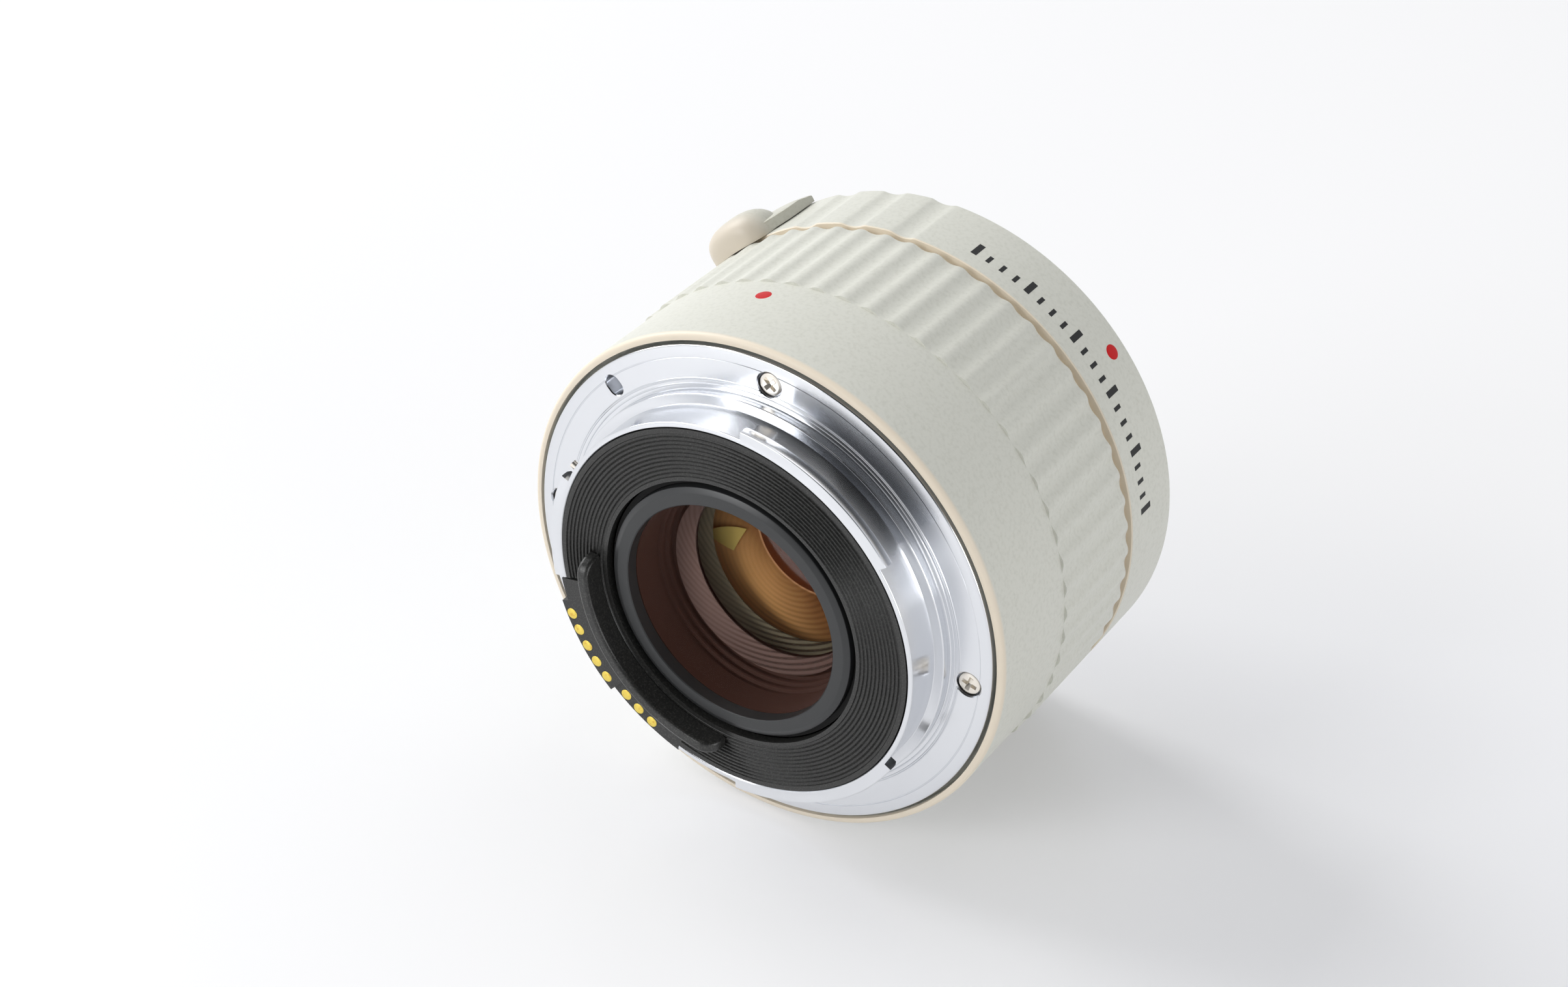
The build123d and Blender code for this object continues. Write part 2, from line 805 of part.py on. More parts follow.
def lens_cell():
    """The tube that holds the glass; its collar is screwed to the frame's web."""
    body = turned(cell_outline())
    body -= disc(retainer_radius + close_gap, -cell_rear_end - overrun, retainer_seat)
    for angle in cell_screw_angles():
        body -= axial_rod(small_screw_shank_radius + close_gap, web_end - overrun,
                          web_end + cell_collar_thickness + overrun, cell_screw_place_radius, angle)
    return body


def rear_retaining_ring():
    """The grey ring that screws down on the rear glass."""
    face = retainer_end
    return turned([
        (retainer_bore, retainer_seat),
        (retainer_bore, face),
        (retainer_radius - retainer_chamfer, face),
        (retainer_radius, face + retainer_chamfer_drop),
        (retainer_radius, retainer_seat),
    ])


def front_retaining_ring(start):
    """The ring that screws down on the front glass."""
    end = start + front_retainer_thickness
    inner = cell_front_bore - glass_flat
    return turned([
        (inner, start),
        (cell_front_bore, start),
        (cell_front_bore, end),
        (inner + close_gap, end),
    ])


def ribbed_spacer(start, end, outer, bore_start, bore_end):
    """A distance tube whose bore has fine ribs that stop reflections."""
    count = int((end - start) / cell_rib_pitch)
    pitch = (end - start) / count
    points = [(outer, start)]
    for number in range(count):
        share = number / count
        bore = bore_start + (bore_end - bore_start) * share
        place = start + pitch * number
        points.append((bore + cell_rib_depth, place))
        points.append((bore, place + pitch / 2))
    points.append((bore_end + cell_rib_depth, end))
    points.append((outer, end))
    return turned(points)


def glass_places():
    """Where each element begins and ends along the axis."""
    rear_start = retainer_seat
    rear_end = rear_start + rear_glass_thickness
    middle_start = stop_start - middle_glass_thickness
    doublet_start = stop_start + stop_thickness
    doublet_end = doublet_start + doublet_thickness
    front_end = cell_front_end - front_retainer_thickness
    front_start = front_end - front_glass_thickness
    return {
        "rear": (rear_start, rear_end),
        "middle": (middle_start, stop_start),
        "doublet": (doublet_start, doublet_end),
        "front": (front_start, front_end),
    }


def cemented_pair(start, end):
    """The two glasses of the cemented doublet."""
    radius = cell_front_bore - close_gap
    split = start + doublet_split
    rear_sag, bond_sag, front_sag = doublet_sags
    crown = glass(radius, start, split, (rear_sag, bond_sag))
    flint = glass(radius, split, end, (-bond_sag, front_sag))
    return crown, flint


def front_mount_ring():
    """The lens-side bayonet: a seat, a throat and three inward lugs."""
    start = front_ring_start
    relief = register_radius + throat_relief
    body = ring(register_radius, seat_radius, start, seat_distance)
    body -= disc(relief, start - overrun, seat_distance - female_lug_depth)
    rims = body.edges().filter_by(GeomType.CIRCLE).group_by(Axis.Y)[-1]
    body = chamfer([rims.sort_by(lambda edge: edge.radius)[-1]], ring_edge_round)
    lug_end = seat_distance - female_lug_depth
    lug_start = lug_end - female_lug_thickness
    for centre in lug_centres:
        span = (centre - female_lug_angle / 2, centre + female_lug_angle / 2)
        body += arc_block(female_lug_radius, relief + close_gap, start, lug_end, span)
        body += arc_block(female_lug_radius, register_radius + close_gap, lug_start, start, span)
    for angle in screw_angles:
        body -= axial_rod(screw_head_radius + screw_head_room,
                          seat_distance - screw_head_height - screw_head_sink,
                          seat_distance + overrun, screw_place_radius, angle)
    body -= ring_screw_holes(start - overrun, seat_distance + overrun, close_gap)
    return body - axial_rod(lock_pin_radius + running_gap, start - overrun, seat_distance + overrun,
                            lock_pin_place_radius, lock_angle)


def leaf_spring(angle):
    """A bowed leaf under one female lug: it pulls the lens back onto the seat."""
    top = seat_distance - female_lug_depth - female_lug_thickness
    half = leaf_length / 2
    upper = ThreePointArc((-half, top), (0, top - leaf_bow), (half, top))
    lower_top = top - leaf_thickness
    lower = ThreePointArc((-half, lower_top), (0, lower_top - leaf_bow), (half, lower_top))
    ends = Line((half, top), (half, lower_top)) + Line((-half, top), (-half, lower_top))
    face = make_face(upper + lower + ends)
    strip = extrude(face, leaf_radii[1] + overrun, dir=(0, 0, 1))
    strip = Rot(0, 90, 0) * strip
    strip = strip & ring(leaf_radii[0], leaf_radii[1], top - leaf_bow - overrun, top + overrun)
    return turn(strip, angle)


def front_baffle():
    """The black cup that lines the throat behind the lens."""
    floor = front_baffle_floor
    skirt_end = frame_end - front_flange_thickness - close_gap
    body = turned([
        (front_baffle_bore, floor - front_baffle_thickness),
        (front_baffle_radius, floor - front_baffle_thickness),
        (front_baffle_radius, skirt_end),
        (front_baffle_radius - front_baffle_skirt, skirt_end),
        (front_baffle_radius - front_baffle_skirt, floor),
        (front_baffle_bore, floor),
    ])
    inner = pin_block_inner_radius - close_gap
    return body - arc_block(inner, front_baffle_radius + overrun,
                            floor - front_baffle_thickness - overrun, skirt_end + overrun,
                            widen(pin_block_angles, close_gap, inner))


def front_contact_block():
    """The black moulding that guides the eight sprung pins."""
    start, face = pin_block_start, pin_block_face
    body = arc_block(pin_block_inner_radius, pin_block_outer_radius, start, face, pin_block_angles)
    body += arc_block(pin_block_inner_radius, pin_block_foot_radius, start, start + pin_block_foot,
                      pin_block_angles)
    for angle in pad_angles:
        body -= axial_rod(pin_radius + running_gap, start, face + overrun, pad_place_radius, angle)
        body -= axial_rod(pin_bore_radius, start - overrun, face - pin_lip, pad_place_radius, angle)
    return body


def pin_board():
    """The small circuit board that the pins' springs stand on."""
    return arc_block(pin_block_inner_radius, pin_block_foot_radius, pin_block_start - board_thickness,
                     pin_block_start, pin_block_angles)


def contact_pin(angle):
    """One gold pin: a round tip, a shank and a collar that its lip stops."""
    tip = seat_distance - pin_tip_depth
    collar_top = pin_block_face - pin_lip - close_gap
    body = axial_rod(pin_radius, collar_top - pin_collar_height, tip, 0, 0)
    body = fillet(body.edges().group_by(Axis.Y)[-1], pin_radius * pin_round_share)
    body += axial_rod(pin_collar_radius, collar_top - pin_collar_height, collar_top, 0, 0)
    return turn(Pos(pad_place_radius, 0, 0) * body, angle)


def contact_spring(angle):
    """The coil under one pin, as the tube that it fills."""
    end = pin_block_face - pin_lip - close_gap - pin_collar_height
    outer, inner = pin_spring_radii
    body = axial_rod(outer, pin_block_start, end, pad_place_radius, angle)
    return body - axial_rod(inner, pin_block_start - overrun, end + overrun, pad_place_radius, angle)


def lock_pin():
    """The steel pin that drops into the lens's slot."""
    shoulder = seat_distance + lock_pin_tip_start
    start = carrier_end - carrier_pin_hold
    shank = axial_rod(lock_pin_radius, start, shoulder, lock_pin_place_radius, 0)
    end = seat_distance + lock_pin_reach
    tip = axial_rod(lock_pin_tip_radius, shoulder, end, lock_pin_place_radius, 0)
    tip = fillet(tip.edges().group_by(Axis.Y)[-1], lock_pin_round)
    return turn(shank + tip, lock_angle)


def lock_carrier():
    """The bracket that carries the lock pin, the lever's foot and the guide rod."""
    body = cuboid(carrier_radii, (carrier_start, carrier_end), carrier_half_width, lock_angle)
    body -= axial_rod(lock_pin_radius, carrier_end - carrier_pin_hold, carrier_end + overrun,
                      lock_pin_place_radius, lock_angle)
    body += axial_rod(guide_rod_radius, guide_rod_end, carrier_start + close_gap,
                      lock_pin_place_radius, lock_angle)
    low, high = carrier_radii[0] - overrun, carrier_radii[1] + overrun
    for side in (1, -1):
        body -= lever_screw_rod(lever_screw_radius, low, high, side)
    return body


def lever_screw_rod(radius, start, end, side):
    """A rod on the line of one lever screw."""
    rod = Cylinder(radius, end - start, align=(Align.CENTER, Align.CENTER, Align.MIN))
    place = (foot_start + foot_end) / 2
    return turn(Pos(start, place, lever_screw_place * side) * Rot(0, 90, 0) * rod, lock_angle)


def lever_screws():
    """The two screws that hold the lever's foot to the carrier."""
    screws = []
    inner = carrier_radii[0]
    end = carrier_radii[1] + lever_screw_reach
    for side in (1, -1):
        head = lever_screw_rod(lever_screw_head_radius, inner - lever_screw_head_height, inner, side)
        screws.append(head + lever_screw_rod(lever_screw_radius, inner, end, side))
    return screws


def least_gap(path, turns, wire):
    """The smallest gap between a coil's turns, measured on points along its path."""
    steps = 24
    points = [path @ (number / (steps * turns)) for number in range(steps * turns + 1)]
    gaps = [(points[high] - points[low]).length - wire
            for high in range(len(points)) for low in range(high - steps // 2)]
    return min(gaps)


def lock_spring():
    """The coil that pushes the lock pin out: one unbroken wire."""
    wire = spring_wire / 2
    start = window_start + wire + spring_end_gap
    end = carrier_start - wire - spring_end_gap
    height = end - start
    coil_radius = spring_outer_radius - wire
    path = Helix(height / spring_turns, height, coil_radius)
    print("lock_spring least gap", round(least_gap(path, spring_turns, spring_wire), 3))
    tangent = path % 0
    section = Plane(path @ 0, z_dir=tangent) * Circle(wire)
    coil = sweep(section, path=path)
    return turn(Pos(lock_pin_place_radius, start, 0) * Rot(-90, 0, 0) * coil, lock_angle)


def knob():
    """The rounded thumb rest at the lever's camera end."""
    middle = knob_front - knob_half_width
    half = knob_half_width
    outline = Polyline((half, middle), (half, knob_start), (-half, knob_start), (-half, middle))
    nose = ThreePointArc((-half, middle), (0, knob_front), (half, middle))
    face = make_face(outline + nose)
    low = crest_radius - overrun
    body = extrude(face, knob_top + overrun, dir=(0, 0, 1))
    body = Rot(0, 90, 0) * body
    corners = body.edges().filter_by(Axis.X).group_by(Axis.Y)[0]
    body = fillet(corners, knob_corner)
    body = body & ring(low, knob_top, knob_start - overrun, knob_front + overrun)
    crown = body.faces().filter_by(GeomType.CYLINDER).sort_by(lambda face: face.center().X)[-1]
    return fillet(crown.edges(), knob_round)


def release_lever():
    """The lever: an arm that follows the shell, a thumb rest and a foot through the slot."""
    under = front_radius + lever_gap
    angles = (-lever_half_angle, lever_half_angle)
    nose = lever_arm_end - lever_arm_nose_length
    arm = sector([(under, lever_arm_start), (lever_arm_top, lever_arm_start), (lever_arm_top, nose),
                  (lever_arm_nose, lever_arm_end), (under, lever_arm_end)], angles)
    tops = arm.faces().filter_by(GeomType.CYLINDER).sort_by(lambda face: face.center().X)[-1]
    sides = tops.edges().filter_by(GeomType.LINE)
    arm = fillet(sides, lever_edge_round)
    body = arm + knob()
    body -= disc(crest_radius + knob_gap, knob_start - overrun, lever_arm_start)
    body -= disc(under, lever_arm_start - overrun, knob_front + overrun)
    body = turn(body, lock_angle)
    body += cuboid((carrier_radii[1], under + lever_gap), (foot_start, foot_end), foot_half_width,
                   lock_angle)
    for side in (1, -1):
        body -= lever_screw_rod(lever_screw_radius, carrier_radii[1] - overrun,
                                carrier_radii[1] + lever_screw_reach, side)
    return body


def control_board():
    """The control board, screwed to the frame's web."""
    body = arc_block(control_radii[0], control_radii[1], web_end, web_end + control_thickness,
                     control_angles)
    for angle in control_screw_angles:
        body -= axial_rod(small_screw_shank_radius + close_gap, web_end - overrun,
                          web_end + control_thickness + overrun, control_screw_radius(), angle)
    return body


def control_chip():
    """The controller's chip on its board."""
    middle = control_screw_radius()
    radii = (middle - chip_size / 2, middle + chip_size / 2)
    start = web_end + control_thickness
    return cuboid(radii, (start, start + chip_height), chip_length / 2, chip_angle)


def small_screws(face, place_radius, angles):
    """Small screws that stand on a face and bite into the frame's web."""
    height = small_screw_head_height
    part = screw(small_screw_head_radius, height, small_screw_shank_radius, small_screw_length)
    return [facing_front(part, face + height, place_radius, angle) for angle in angles]


def flex_circuit():
    """The flexible circuit from the gold pads past the control board to the pins."""
    return arc_block(flex_radius, flex_radius + flex_thickness, block_tail_end,
                     pin_block_start - board_thickness, flex_angles)


def build():
    """Makes every piece and writes one file for each node."""
    os.makedirs("parts", exist_ok=True)
    places = glass_places()
    rear_bore = cell_rear_bore - close_gap
    front_bore = cell_front_bore - close_gap
    save("main_barrel", main_barrel())
    save("front_barrel", front_barrel())
    save("rear_index_mark", index_mark(rear_radius, rear_mark_place, rear_mark_angle))
    save("front_index_mark", index_mark(front_radius, front_mark_place, front_mark_angle))
    save("rear_mount_ring", rear_mount_ring())
    save("bayonet_stop_pin", bayonet_stop_pin())
    save("rear_mount_screws", *ring_screws(screw_head_sink, facing_back))
    save("rear_mount_shim", shim(rear_ring_thickness, front_flange_bore))
    save("rear_baffle", rear_baffle())
    save("rear_contact_block", rear_contact_block())
    save("rear_contact_pads", *rear_contact_pads())
    save("inner_frame", inner_frame())
    save("lens_cell", lens_cell())
    save("lens_cell_screws", *small_screws(web_end + cell_collar_thickness, cell_screw_place_radius,
                                           cell_screw_angles()))
    save("rear_retaining_ring", rear_retaining_ring())
    save("rear_element", glass(rear_bore, *places["rear"], rear_glass_sags))
    save("rear_spacer", ribbed_spacer(places["rear"][1], places["middle"][0], rear_bore,
                                      spacer_bore_rear, spacer_bore_front))
    middle_flat = rear_bore - spacer_bore_front + close_gap
    save("middle_element", glass(rear_bore, *places["middle"], middle_glass_sags, middle_flat))
    crown, flint = cemented_pair(*places["doublet"])
    save("doublet_rear_element", crown)
    save("doublet_front_element", flint)
    save("front_spacer", ribbed_spacer(places["doublet"][1], places["front"][0], front_bore,
                                       front_spacer_bore, front_spacer_bore))
    save("front_element", glass(front_bore, *places["front"], front_glass_sags))
    save("front_retaining_ring", front_retaining_ring(places["front"][1]))
    save("front_mount_ring", front_mount_ring())
    save("front_mount_screws", *ring_screws(seat_distance - screw_head_sink, facing_front))
    save("front_mount_shim", shim(frame_end, front_flange_bore))
    save("mount_leaf_springs", *[leaf_spring(angle) for angle in lug_centres])
    save("front_baffle", front_baffle())
    save("front_contact_block", front_contact_block())
    save("pin_board", pin_board())
    for number, angle in enumerate(pad_angles, start=1):
        save("contact_pin_" + str(number), contact_pin(angle))
        save("contact_spring_" + str(number), contact_spring(angle))
    save("lock_pin", lock_pin())
    save("lock_carrier", lock_carrier())
    save("lock_spring", lock_spring())
    save("release_lever", release_lever())
    save("lever_screws", *lever_screws())
    save("control_board", control_board())
    save("control_chip", control_chip())
    save("control_screws", *small_screws(web_end + control_thickness, control_screw_radius(),
                                         control_screw_angles))
    save("flex_circuit", flex_circuit())


build()
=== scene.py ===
"""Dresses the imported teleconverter: shells, bayonet, light trap, glass, lever and studio.

Everything is in metres in the CAD frame. The optical axis is Y, +Z is up, and the barrel lies on
its side. Angles run about the axis from +X towards +Z, in degrees. Sizes in the classes are in
millimetres and are turned to metres where a mesh is made.
"""
import json
import logging
import math
from dataclasses import dataclass
from enum import Enum
from typing import Callable, Optional, Sequence

import bmesh
import bpy
from mathutils import Matrix, Vector


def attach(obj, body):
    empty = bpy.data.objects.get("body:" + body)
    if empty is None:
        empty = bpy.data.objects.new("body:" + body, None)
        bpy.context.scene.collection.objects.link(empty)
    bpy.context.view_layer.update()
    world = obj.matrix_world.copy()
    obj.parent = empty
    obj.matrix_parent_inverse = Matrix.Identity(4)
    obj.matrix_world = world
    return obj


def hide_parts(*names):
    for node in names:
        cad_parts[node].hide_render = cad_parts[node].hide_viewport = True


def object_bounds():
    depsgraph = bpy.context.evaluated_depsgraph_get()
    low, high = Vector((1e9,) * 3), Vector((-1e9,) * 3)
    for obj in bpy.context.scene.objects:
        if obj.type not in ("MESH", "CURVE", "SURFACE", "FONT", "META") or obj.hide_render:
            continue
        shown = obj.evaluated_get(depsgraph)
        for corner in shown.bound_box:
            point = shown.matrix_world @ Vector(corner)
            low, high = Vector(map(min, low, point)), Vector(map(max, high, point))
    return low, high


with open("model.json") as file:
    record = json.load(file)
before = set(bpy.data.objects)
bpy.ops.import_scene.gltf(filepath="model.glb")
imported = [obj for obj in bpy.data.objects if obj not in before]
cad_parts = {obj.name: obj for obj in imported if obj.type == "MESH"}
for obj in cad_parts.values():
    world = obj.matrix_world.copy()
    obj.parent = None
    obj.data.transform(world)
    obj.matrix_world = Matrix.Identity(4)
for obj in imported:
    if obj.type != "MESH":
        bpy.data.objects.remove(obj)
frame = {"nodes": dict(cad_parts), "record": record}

CAD_BOX = [list(corner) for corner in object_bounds()]
MM = 0.001
SHARP = 28.0
log = logging.getLogger("teleconverter")

Node, Socket = bpy.types.Node, bpy.types.NodeSocket
Material, Piece = bpy.types.Material, bpy.types.Object
Point = tuple[float, float]
Place = tuple[float, float, float]
Profile = Sequence[Point]


class Light(Enum):
    """Which job a studio lamp does."""

    KEY = "key_softbox"
    TOP = "top_softbox"
    FRONT = "front_fill"
    SIDE = "side_fill"


def linear(hex_colour: str) -> tuple[float, float, float, float]:
    """Turns an sRGB hex colour to the linear values that a shader takes.

    Args:
        hex_colour: six hex digits, such as "CDCFC8".

    Returns:
        Red, green, blue and an alpha of one.
    """
    values = [int(hex_colour[place:place + 2], 16) / 255 for place in (0, 2, 4)]
    red, green, blue = [v / 12.92 if v <= 0.04045 else ((v + 0.055) / 1.055) ** 2.4 for v in values]
    return red, green, blue, 1.0


def per_mm(size: float) -> float:
    """The texture scale that gives a pattern this size in millimetres."""
    return 1.0 / (size * MM)


@dataclass
class Web:
    """A node tree that is being filled, with the parts that a finish works on."""

    tree: bpy.types.NodeTree
    place: Optional[Socket] = None
    shader: Optional[Node] = None
    surface: Optional[Socket] = None

    def __post_init__(self) -> None:
        """Empties the tree."""
        self.tree.nodes.clear()

    def add(self, kind: str, links: Optional[dict] = None, **settings: object) -> Node:
        """Adds one node with its settings and links.

        Args:
            kind: the node's type, without its ShaderNode prefix.
            links: inputs by name or number; a socket is linked and anything else is set.
            settings: properties of the node itself.

        Returns:
            The new node.
        """
        made = self.tree.nodes.new("ShaderNode" + kind)
        for name, value in settings.items():
            setattr(made, name, value)
        for name, value in (links or {}).items():
            self.feed(name, value, made)
        return made

    def feed(self, name: object, value: object, node: Optional[Node] = None) -> None:
        """Links or sets an input of a node, or of the main shader when none is given."""
        socket = (node or self.shader).inputs[name]
        if isinstance(value, Socket):
            self.tree.links.new(value, socket)
        else:
            socket.default_value = value

    def maths(self, operation: str, *values: object) -> Socket:
        """Adds one step of arithmetic on sockets and numbers."""
        return self.add("Math", dict(enumerate(values)), operation=operation).outputs["Value"]

    def measure(self, operation: str, first: object, second: object) -> Socket:
        """Adds a vector step that gives a number, such as a distance."""
        return self.add("VectorMath", {0: first, 1: second}, operation=operation).outputs["Value"]

    def noise(self, size: float, detail: float = 3.0) -> Socket:
        """A noise from 0 to 1 whose blotches are about this many millimetres wide."""
        return self.add("TexNoise", {"Vector": self.place, "Scale": per_mm(size), "Detail": detail}).outputs["Fac"]

    def rings(self, pitch: float, **values: float) -> Socket:
        """A wave from 0 to 1 in rings about the optical axis."""
        links = {"Vector": self.place, "Scale": per_mm(pitch) / 20, **values}
        return self.add("TexWave", links, wave_type="RINGS", rings_direction="Y").outputs["Fac"]

    def tint(self, factor: object, first: object, second: object) -> Socket:
        """Mixes two colours, given as hex digits or sockets, where a factor of 0 keeps the first."""
        ends = [linear(value) if isinstance(value, str) else value for value in (first, second)]
        return self.add("MixRGB", {"Fac": factor, "Color1": ends[0], "Color2": ends[1]}).outputs["Color"]

    def spread(self, value: Socket, low: float, high: float, to_low: float = 0.0, to_high: float = 1.0) -> Socket:
        """Maps the range from low to high to another range, clamped."""
        return self.add("MapRange", {"Value": value, "From Min": low, "From Max": high, "To Min": to_low,
                                     "To Max": to_high}, interpolation_type="SMOOTHSTEP").outputs["Result"]

    def bump(self, height: Socket, depth: float) -> None:
        """Bends the shader's normal by a height from 0 to 1, where 1 stands for this many millimetres."""
        made = self.add("Bump", {"Height": height, "Distance": depth * MM, "Strength": 1.0})
        self.feed("Normal", made.outputs["Normal"])


@dataclass(frozen=True)
class Finish:
    """What all finishes share: a name, a colour and the main shader's values."""

    name: str = "finish"
    colour: str = "808080"
    roughness: float = 0.5
    metallic: float = 0.0
    ior: float = 1.5

    def make(self) -> Material:
        """Builds the material and fills its node tree."""
        material = bpy.data.materials.new(self.name)
        material.use_nodes = True
        web = Web(material.node_tree)
        web.place = web.add("TexCoord").outputs["Object"]
        web.shader = web.add("BsdfPrincipled", {"Base Color": linear(self.colour), "Roughness": self.roughness,
                                                "Metallic": self.metallic, "IOR": self.ior})
        web.surface = web.shader.outputs["BSDF"]
        self.detail(web)
        web.add("OutputMaterial", {"Surface": web.surface})
        return material

    def detail(self, web: Web) -> None:
        """Adds what is special to one finish; the plain one adds nothing."""


@dataclass(frozen=True)
class Paint(Finish):
    """Satin two-part paint on a moulded ABS shell: a fine orange peel and faint mottling."""

    name: str = "satin_paint"
    colour: str = "D8D8CE"
    mottle: str = "CECEC3"
    edge_colour: str = "E8DCC8"
    roughness: float = 0.42
    peel: float = 0.22
    peel_depth: float = 0.006
    blotch: float = 0.5
    edge_from: float = -1.0
    edge_to: float = -0.9

    def detail(self, web: Web) -> None:
        """Mottles the colour, warms the moulded edge and adds the orange peel."""
        blotches = web.spread(web.noise(self.blotch, 4.0), 0.40, 0.80)
        along = web.add("SeparateXYZ", {"Vector": web.place}).outputs["Y"]
        edge = web.spread(along, self.edge_to * MM, self.edge_from * MM)
        web.feed("Base Color", web.tint(edge, web.tint(blotches, self.colour, self.mottle), self.edge_colour))
        web.bump(web.noise(self.peel, 2.0), self.peel_depth)


@dataclass(frozen=True)
class TurnedChrome(Finish):
    """Brass turned on a lathe and chromed: circular tool marks draw reflections out radially."""

    name: str = "turned_chrome"
    colour: str = "E2E4E8"
    roughness: float = 0.34
    metallic: float = 1.0
    grain: float = 0.11
    grain_depth: float = 0.0008
    anisotropy: float = 0.75
    quarter_turn: float = 0.25

    def detail(self, web: Web) -> None:
        """Adds the grain and the reflections that the tool marks stretch."""
        web.feed("Anisotropic", self.anisotropy)
        web.feed("Anisotropic Rotation", self.quarter_turn)
        web.feed("Tangent", web.add("Tangent", direction_type="RADIAL", axis="Y").outputs["Tangent"])
        web.bump(web.noise(self.grain, 2.0), self.grain_depth)


@dataclass(frozen=True)
class Nickel(Finish):
    """Steel with a warm nickel plating, a little rough from the tumbling of small parts."""

    name: str = "nickel"
    colour: str = "F0EAE0"
    roughness: float = 0.34
    metallic: float = 1.0
    grain: float = 0.08
    grain_depth: float = 0.002

    def detail(self, web: Web) -> None:
        """Adds the tumbled grain."""
        web.bump(web.noise(self.grain, 2.0), self.grain_depth)


@dataclass(frozen=True)
class GrainedBlack(Finish):
    """Glass-filled polycarbonate moulded black, with the fine grain of a spark-eroded mould."""

    name: str = "grained_black"
    colour: str = "232322"
    light: str = "434340"
    roughness: float = 0.36
    grain: float = 0.20
    grain_depth: float = 0.016

    def detail(self, web: Web) -> None:
        """Adds the moulded grain and its paler specks."""
        grains = web.noise(self.grain)
        web.feed("Base Color", web.tint(web.spread(grains, 0.45, 0.75), self.colour, self.light))
        web.bump(grains, self.grain_depth)


@dataclass(frozen=True)
class Anodised(Finish):
    """Aluminium turned and anodised: a dyed oxide skin over fine tool marks."""

    name: str = "black_anodised"
    colour: str = "1A1816"
    roughness: float = 0.34
    metallic: float = 0.6
    tool_mark: float = 0.12
    tool_depth: float = 0.0015

    def detail(self, web: Web) -> None:
        """Adds the tool marks."""
        web.bump(web.rings(self.tool_mark, Distortion=0.3, Detail=1.0), self.tool_depth)


@dataclass(frozen=True)
class Gold(Finish):
    """A gold flash over nickel on the contacts, worn a little by the camera's pins."""

    name: str = "gold_flash"
    colour: str = "F2D869"
    worn: str = "D9A648"
    roughness: float = 0.3
    metallic: float = 1.0
    wear: float = 0.5

    def detail(self, web: Web) -> None:
        """Varies the gold where it has been rubbed."""
        web.feed("Base Color", web.tint(web.spread(web.noise(self.wear, 2.0), 0.5, 0.8), self.colour, self.worn))


@dataclass(frozen=True)
class RedEnamel(Finish):
    """Gloss red enamel, filled into the index holes by hand, so its surface is uneven."""

    name: str = "red_enamel"
    colour: str = "C8060C"
    roughness: float = 0.30
    ior: float = 1.33
    wave: float = 0.7
    wave_depth: float = 0.01

    def detail(self, web: Web) -> None:
        """Adds the unevenness of the hand filling."""
        web.bump(web.noise(self.wave, 1.0), self.wave_depth)


